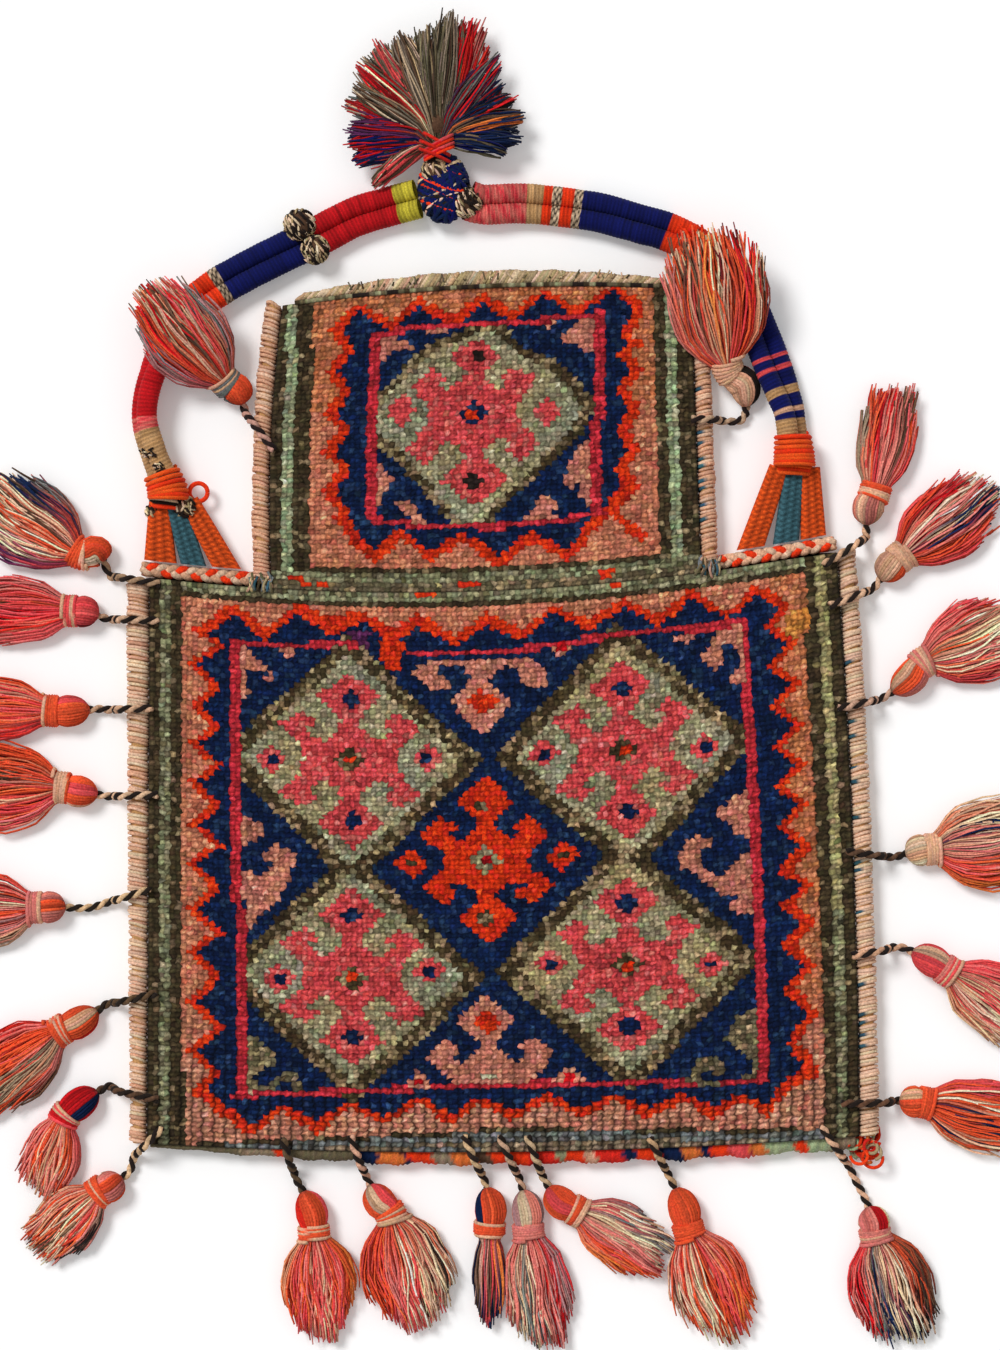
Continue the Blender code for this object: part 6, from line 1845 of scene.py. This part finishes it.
# %% [markdown]
# ## The crown tassel
# A big bush of loose yarn stands on the knot: grey and fawn in the middle, bright red to its right, then
# navy with orange, and red, purple and navy to the left. Every yarn leaves the knot its own way, and its
# colour follows from that way.

# %% Make the crown
LOCK_YARNS, CROWN_YARN_RADIUS = 40, 0.00066
# the way that a lock leaves the knot in degrees from the right, its reach in millimetres, its colours
CROWN_LOCKS = (
    (-2, 38, "navy blue khaki"), (8, 47, "navy navy blue"), (18, 49, "navy orange black"),
    (27, 49, "brown amber navy"), (36, 49, "navy red black"), (45, 50, "navy red slate"),
    (53, 52, "navy purple slate"), (60, 58, "purple red slate"), (66, 66, "red red scarlet"),
    (72, 72, "red scarlet red"), (77, 73, "cream red pink"), (82, 73, "khaki grey taupe"),
    (88, 66, "taupe khaki grey"), (94, 63, "grey taupe khaki"), (100, 64, "grey cream taupe"),
    (107, 64, "taupe grey khaki"), (113, 64, "grey brown grey"), (119, 66, "grey taupe rose"),
    (125, 63, "taupe khaki grey"), (131, 62, "grey taupe red"), (137, 57, "grey grey khaki"),
    (144, 55, "taupe grey brown"), (151, 59, "red cream slate"), (158, 52, "red purple red"),
    (165, 50, "purple red purple"), (172, 50, "navy red purple"), (179, 50, "red navy blue"),
    (186, 50, "navy blue red"), (193, 48, "navy brown rose"), (200, 44, "taupe brown rose"),
)


def make_crown():
    rng = np.random.default_rng(802)
    basket = Basket()
    root = off_knot(CROWN_ANGLE)[0] + (0.002, -0.003, 0.002)
    fan = root + (0.0000, 0.0105, 0.0015)
    t = np.linspace(0, 1, 9)
    paths, shades = [], []
    for angle, reach, names in CROWN_LOCKS:
        level = rng.uniform(0.2, 1.0)
        bend = rng.normal(0, 0.0025) + 0.004 * (1 if angle > 90 else -1) * abs(angle - 95) / 90
        lean = math.radians(angle)
        way = np.array((math.cos(lean), math.sin(lean), 0))
        beside = np.array((-way[1], way[0], 0))
        for k in range(LOCK_YARNS):
            aside = rng.uniform(-1, 1)
            far = 0.93 * reach * MM * (1 + rng.normal(0, 0.03) - 0.10 * aside**2) * (0.96 + 0.08 * level)
            across = far * 0.15 * aside * np.sin(np.pi * np.clip(0.08 + 0.70 * t, 0, 1)) + bend * t**2
            across = across + 0.0012 * np.sin(t * 7 + rng.uniform(0, 6)) * t
            high = 0.25 + 0.75 * level * (1 - 0.5 * aside**2) * rng.uniform(0.7, 1)
            arch = np.sin(np.pi * np.minimum(1, t * 0.80)) * (0.0125 * high) - 0.0045 * t
            path = fan + way * (far * t)[:, None] + beside * across[:, None] + (0, 0, 1) * arch[:, None]
            blend = np.clip(1 - t * 4, 0, 1)[:, None]
            path = path * (1 - blend) + (root + (fan - root) * (t * 2)[:, None]) * blend
            path[:, 2] = np.clip(path[:, 2], 0.0012, 0.0245)
            paths.append(path)
            # Painted shade: each yarn is darker towards its root, and yarns that arch low are darker than
            # high ones.
            painted_shade = np.interp(t, (0, 0.25, 0.5, 1), (0.6, 0.8, 0.9, 1.0))[:, None]
            painted_shade = painted_shade * np.exp(rng.normal(0, 0.08, (9, 1))) * (0.40 + 0.75 * high)
            name = names.split()[int(rng.integers(0, 3))]
            if name in ("grey", "taupe") and rng.random() < 0.4:
                name = ("hem", "brown", "cream", "guard")[int(rng.integers(0, 4))]
            own = dye([name], rng, 0.34)[0]
            stem = np.clip(0.55 - 1.2 * t, 0, 1)[:, None] * (rng.random() < 0.3)
            shades.append((own * (1 - stem) + np.array(DYES["hem"]) * stem) * painted_shade)
    radii = np.array((0.7, 0.8, 0.95, 1, 1, 1, 1, 0.95, 0.7)) * CROWN_YARN_RADIUS
    basket.yarns(np.array(paths), radii, np.array(shades), sides=3)
    for k in range(9):
        side = 1 if k % 4 else -1
        start = root + (-0.007 * side, -0.002 + 0.0009 * k, 0.006)
        far = root + (0.010 * side * rng.uniform(0.7, 1), 0.005 + 0.0011 * k, 0.008)
        path = start + (far - start) * t[:, None] + (0, 0, 0.004) * np.sin(np.pi * t)[:, None]
        basket.yarn(path, 0.0010, ("scarlet", "orange", "red", "rose")[k % 4], rng, 5)
    # A brown core under the fan darkens the gaps between the yarns as painted shade.
    shade_core = np.array([fan + (0, 0.001 + 0.030 * s, -0.003) for s in np.linspace(0, 1, 10)])
    basket.yarns(shade_core[None], np.array((3, 6, 7.5, 8, 8, 7.5, 7, 6, 5, 3)) * MM, DYES["brown"], sides=10)
    return keep(basket.make("yarn_tassel_crown", YARN_WOOL), "yarn", "tassel_crown")


make_crown()
print("crown yarns:", len(CROWN_LOCKS) * LOCK_YARNS)

# %% [markdown]
# ## The floor and the light
# A white floor and an even sky give the plain light of a catalogue photograph, and a broad sun from the
# upper left keeps the relief of the wool visible.

# %% Set the stage
FLOOR_HALF, FLOOR_DROP, FLOOR_GREY, FLOOR_GLOW, SKY_STRENGTH = 3.0, 0.0003, 0.93, 0.12, 0.50
SUN_STRENGTH, SUN_WIDTH, SUN_FROM = 2.05, 20, (-0.45, 0.45, 0.76)


def make_floor():
    mesh = bpy.data.meshes.new("floor")
    corners = [(x * FLOOR_HALF, y * FLOOR_HALF, 0) for x, y in ((-1, -1), (1, -1), (1, 1), (-1, 1))]
    mesh.from_pydata(corners, [], [(0, 1, 2, 3)])
    floor = bpy.data.objects.new("floor", mesh)
    floor.location.z = -FLOOR_DROP
    bpy.context.scene.collection.objects.link(floor)
    paint = bpy.data.materials.new("white_floor")
    paint.use_nodes = True
    put_in(paint.node_tree.nodes["Principled BSDF"], {
        "Base Color": (FLOOR_GREY, FLOOR_GREY, FLOOR_GREY, 1), "Roughness": 1.0, "Specular IOR Level": 0.0,
        "Emission Color": (1, 1, 1, 1), "Emission Strength": FLOOR_GLOW,
    })
    mesh.materials.append(paint)
    return floor


def make_light():
    world = bpy.data.worlds.new("sky")
    world.use_nodes = True
    put_in(world.node_tree.nodes["Background"], {"Color": (1, 1, 1, 1), "Strength": SKY_STRENGTH})
    bpy.context.scene.world = world
    data = bpy.data.lights.new("sun", "SUN")
    data.energy = SUN_STRENGTH
    data.angle = math.radians(SUN_WIDTH)
    sun = bpy.data.objects.new("sun", data)
    sun.rotation_euler = Vector(SUN_FROM).to_track_quat("Z", "Y").to_euler()
    bpy.context.scene.collection.objects.link(sun)
    return sun


make_floor()
make_light()
bpy.context.scene.view_settings.view_transform = "Standard"
print("stage set")
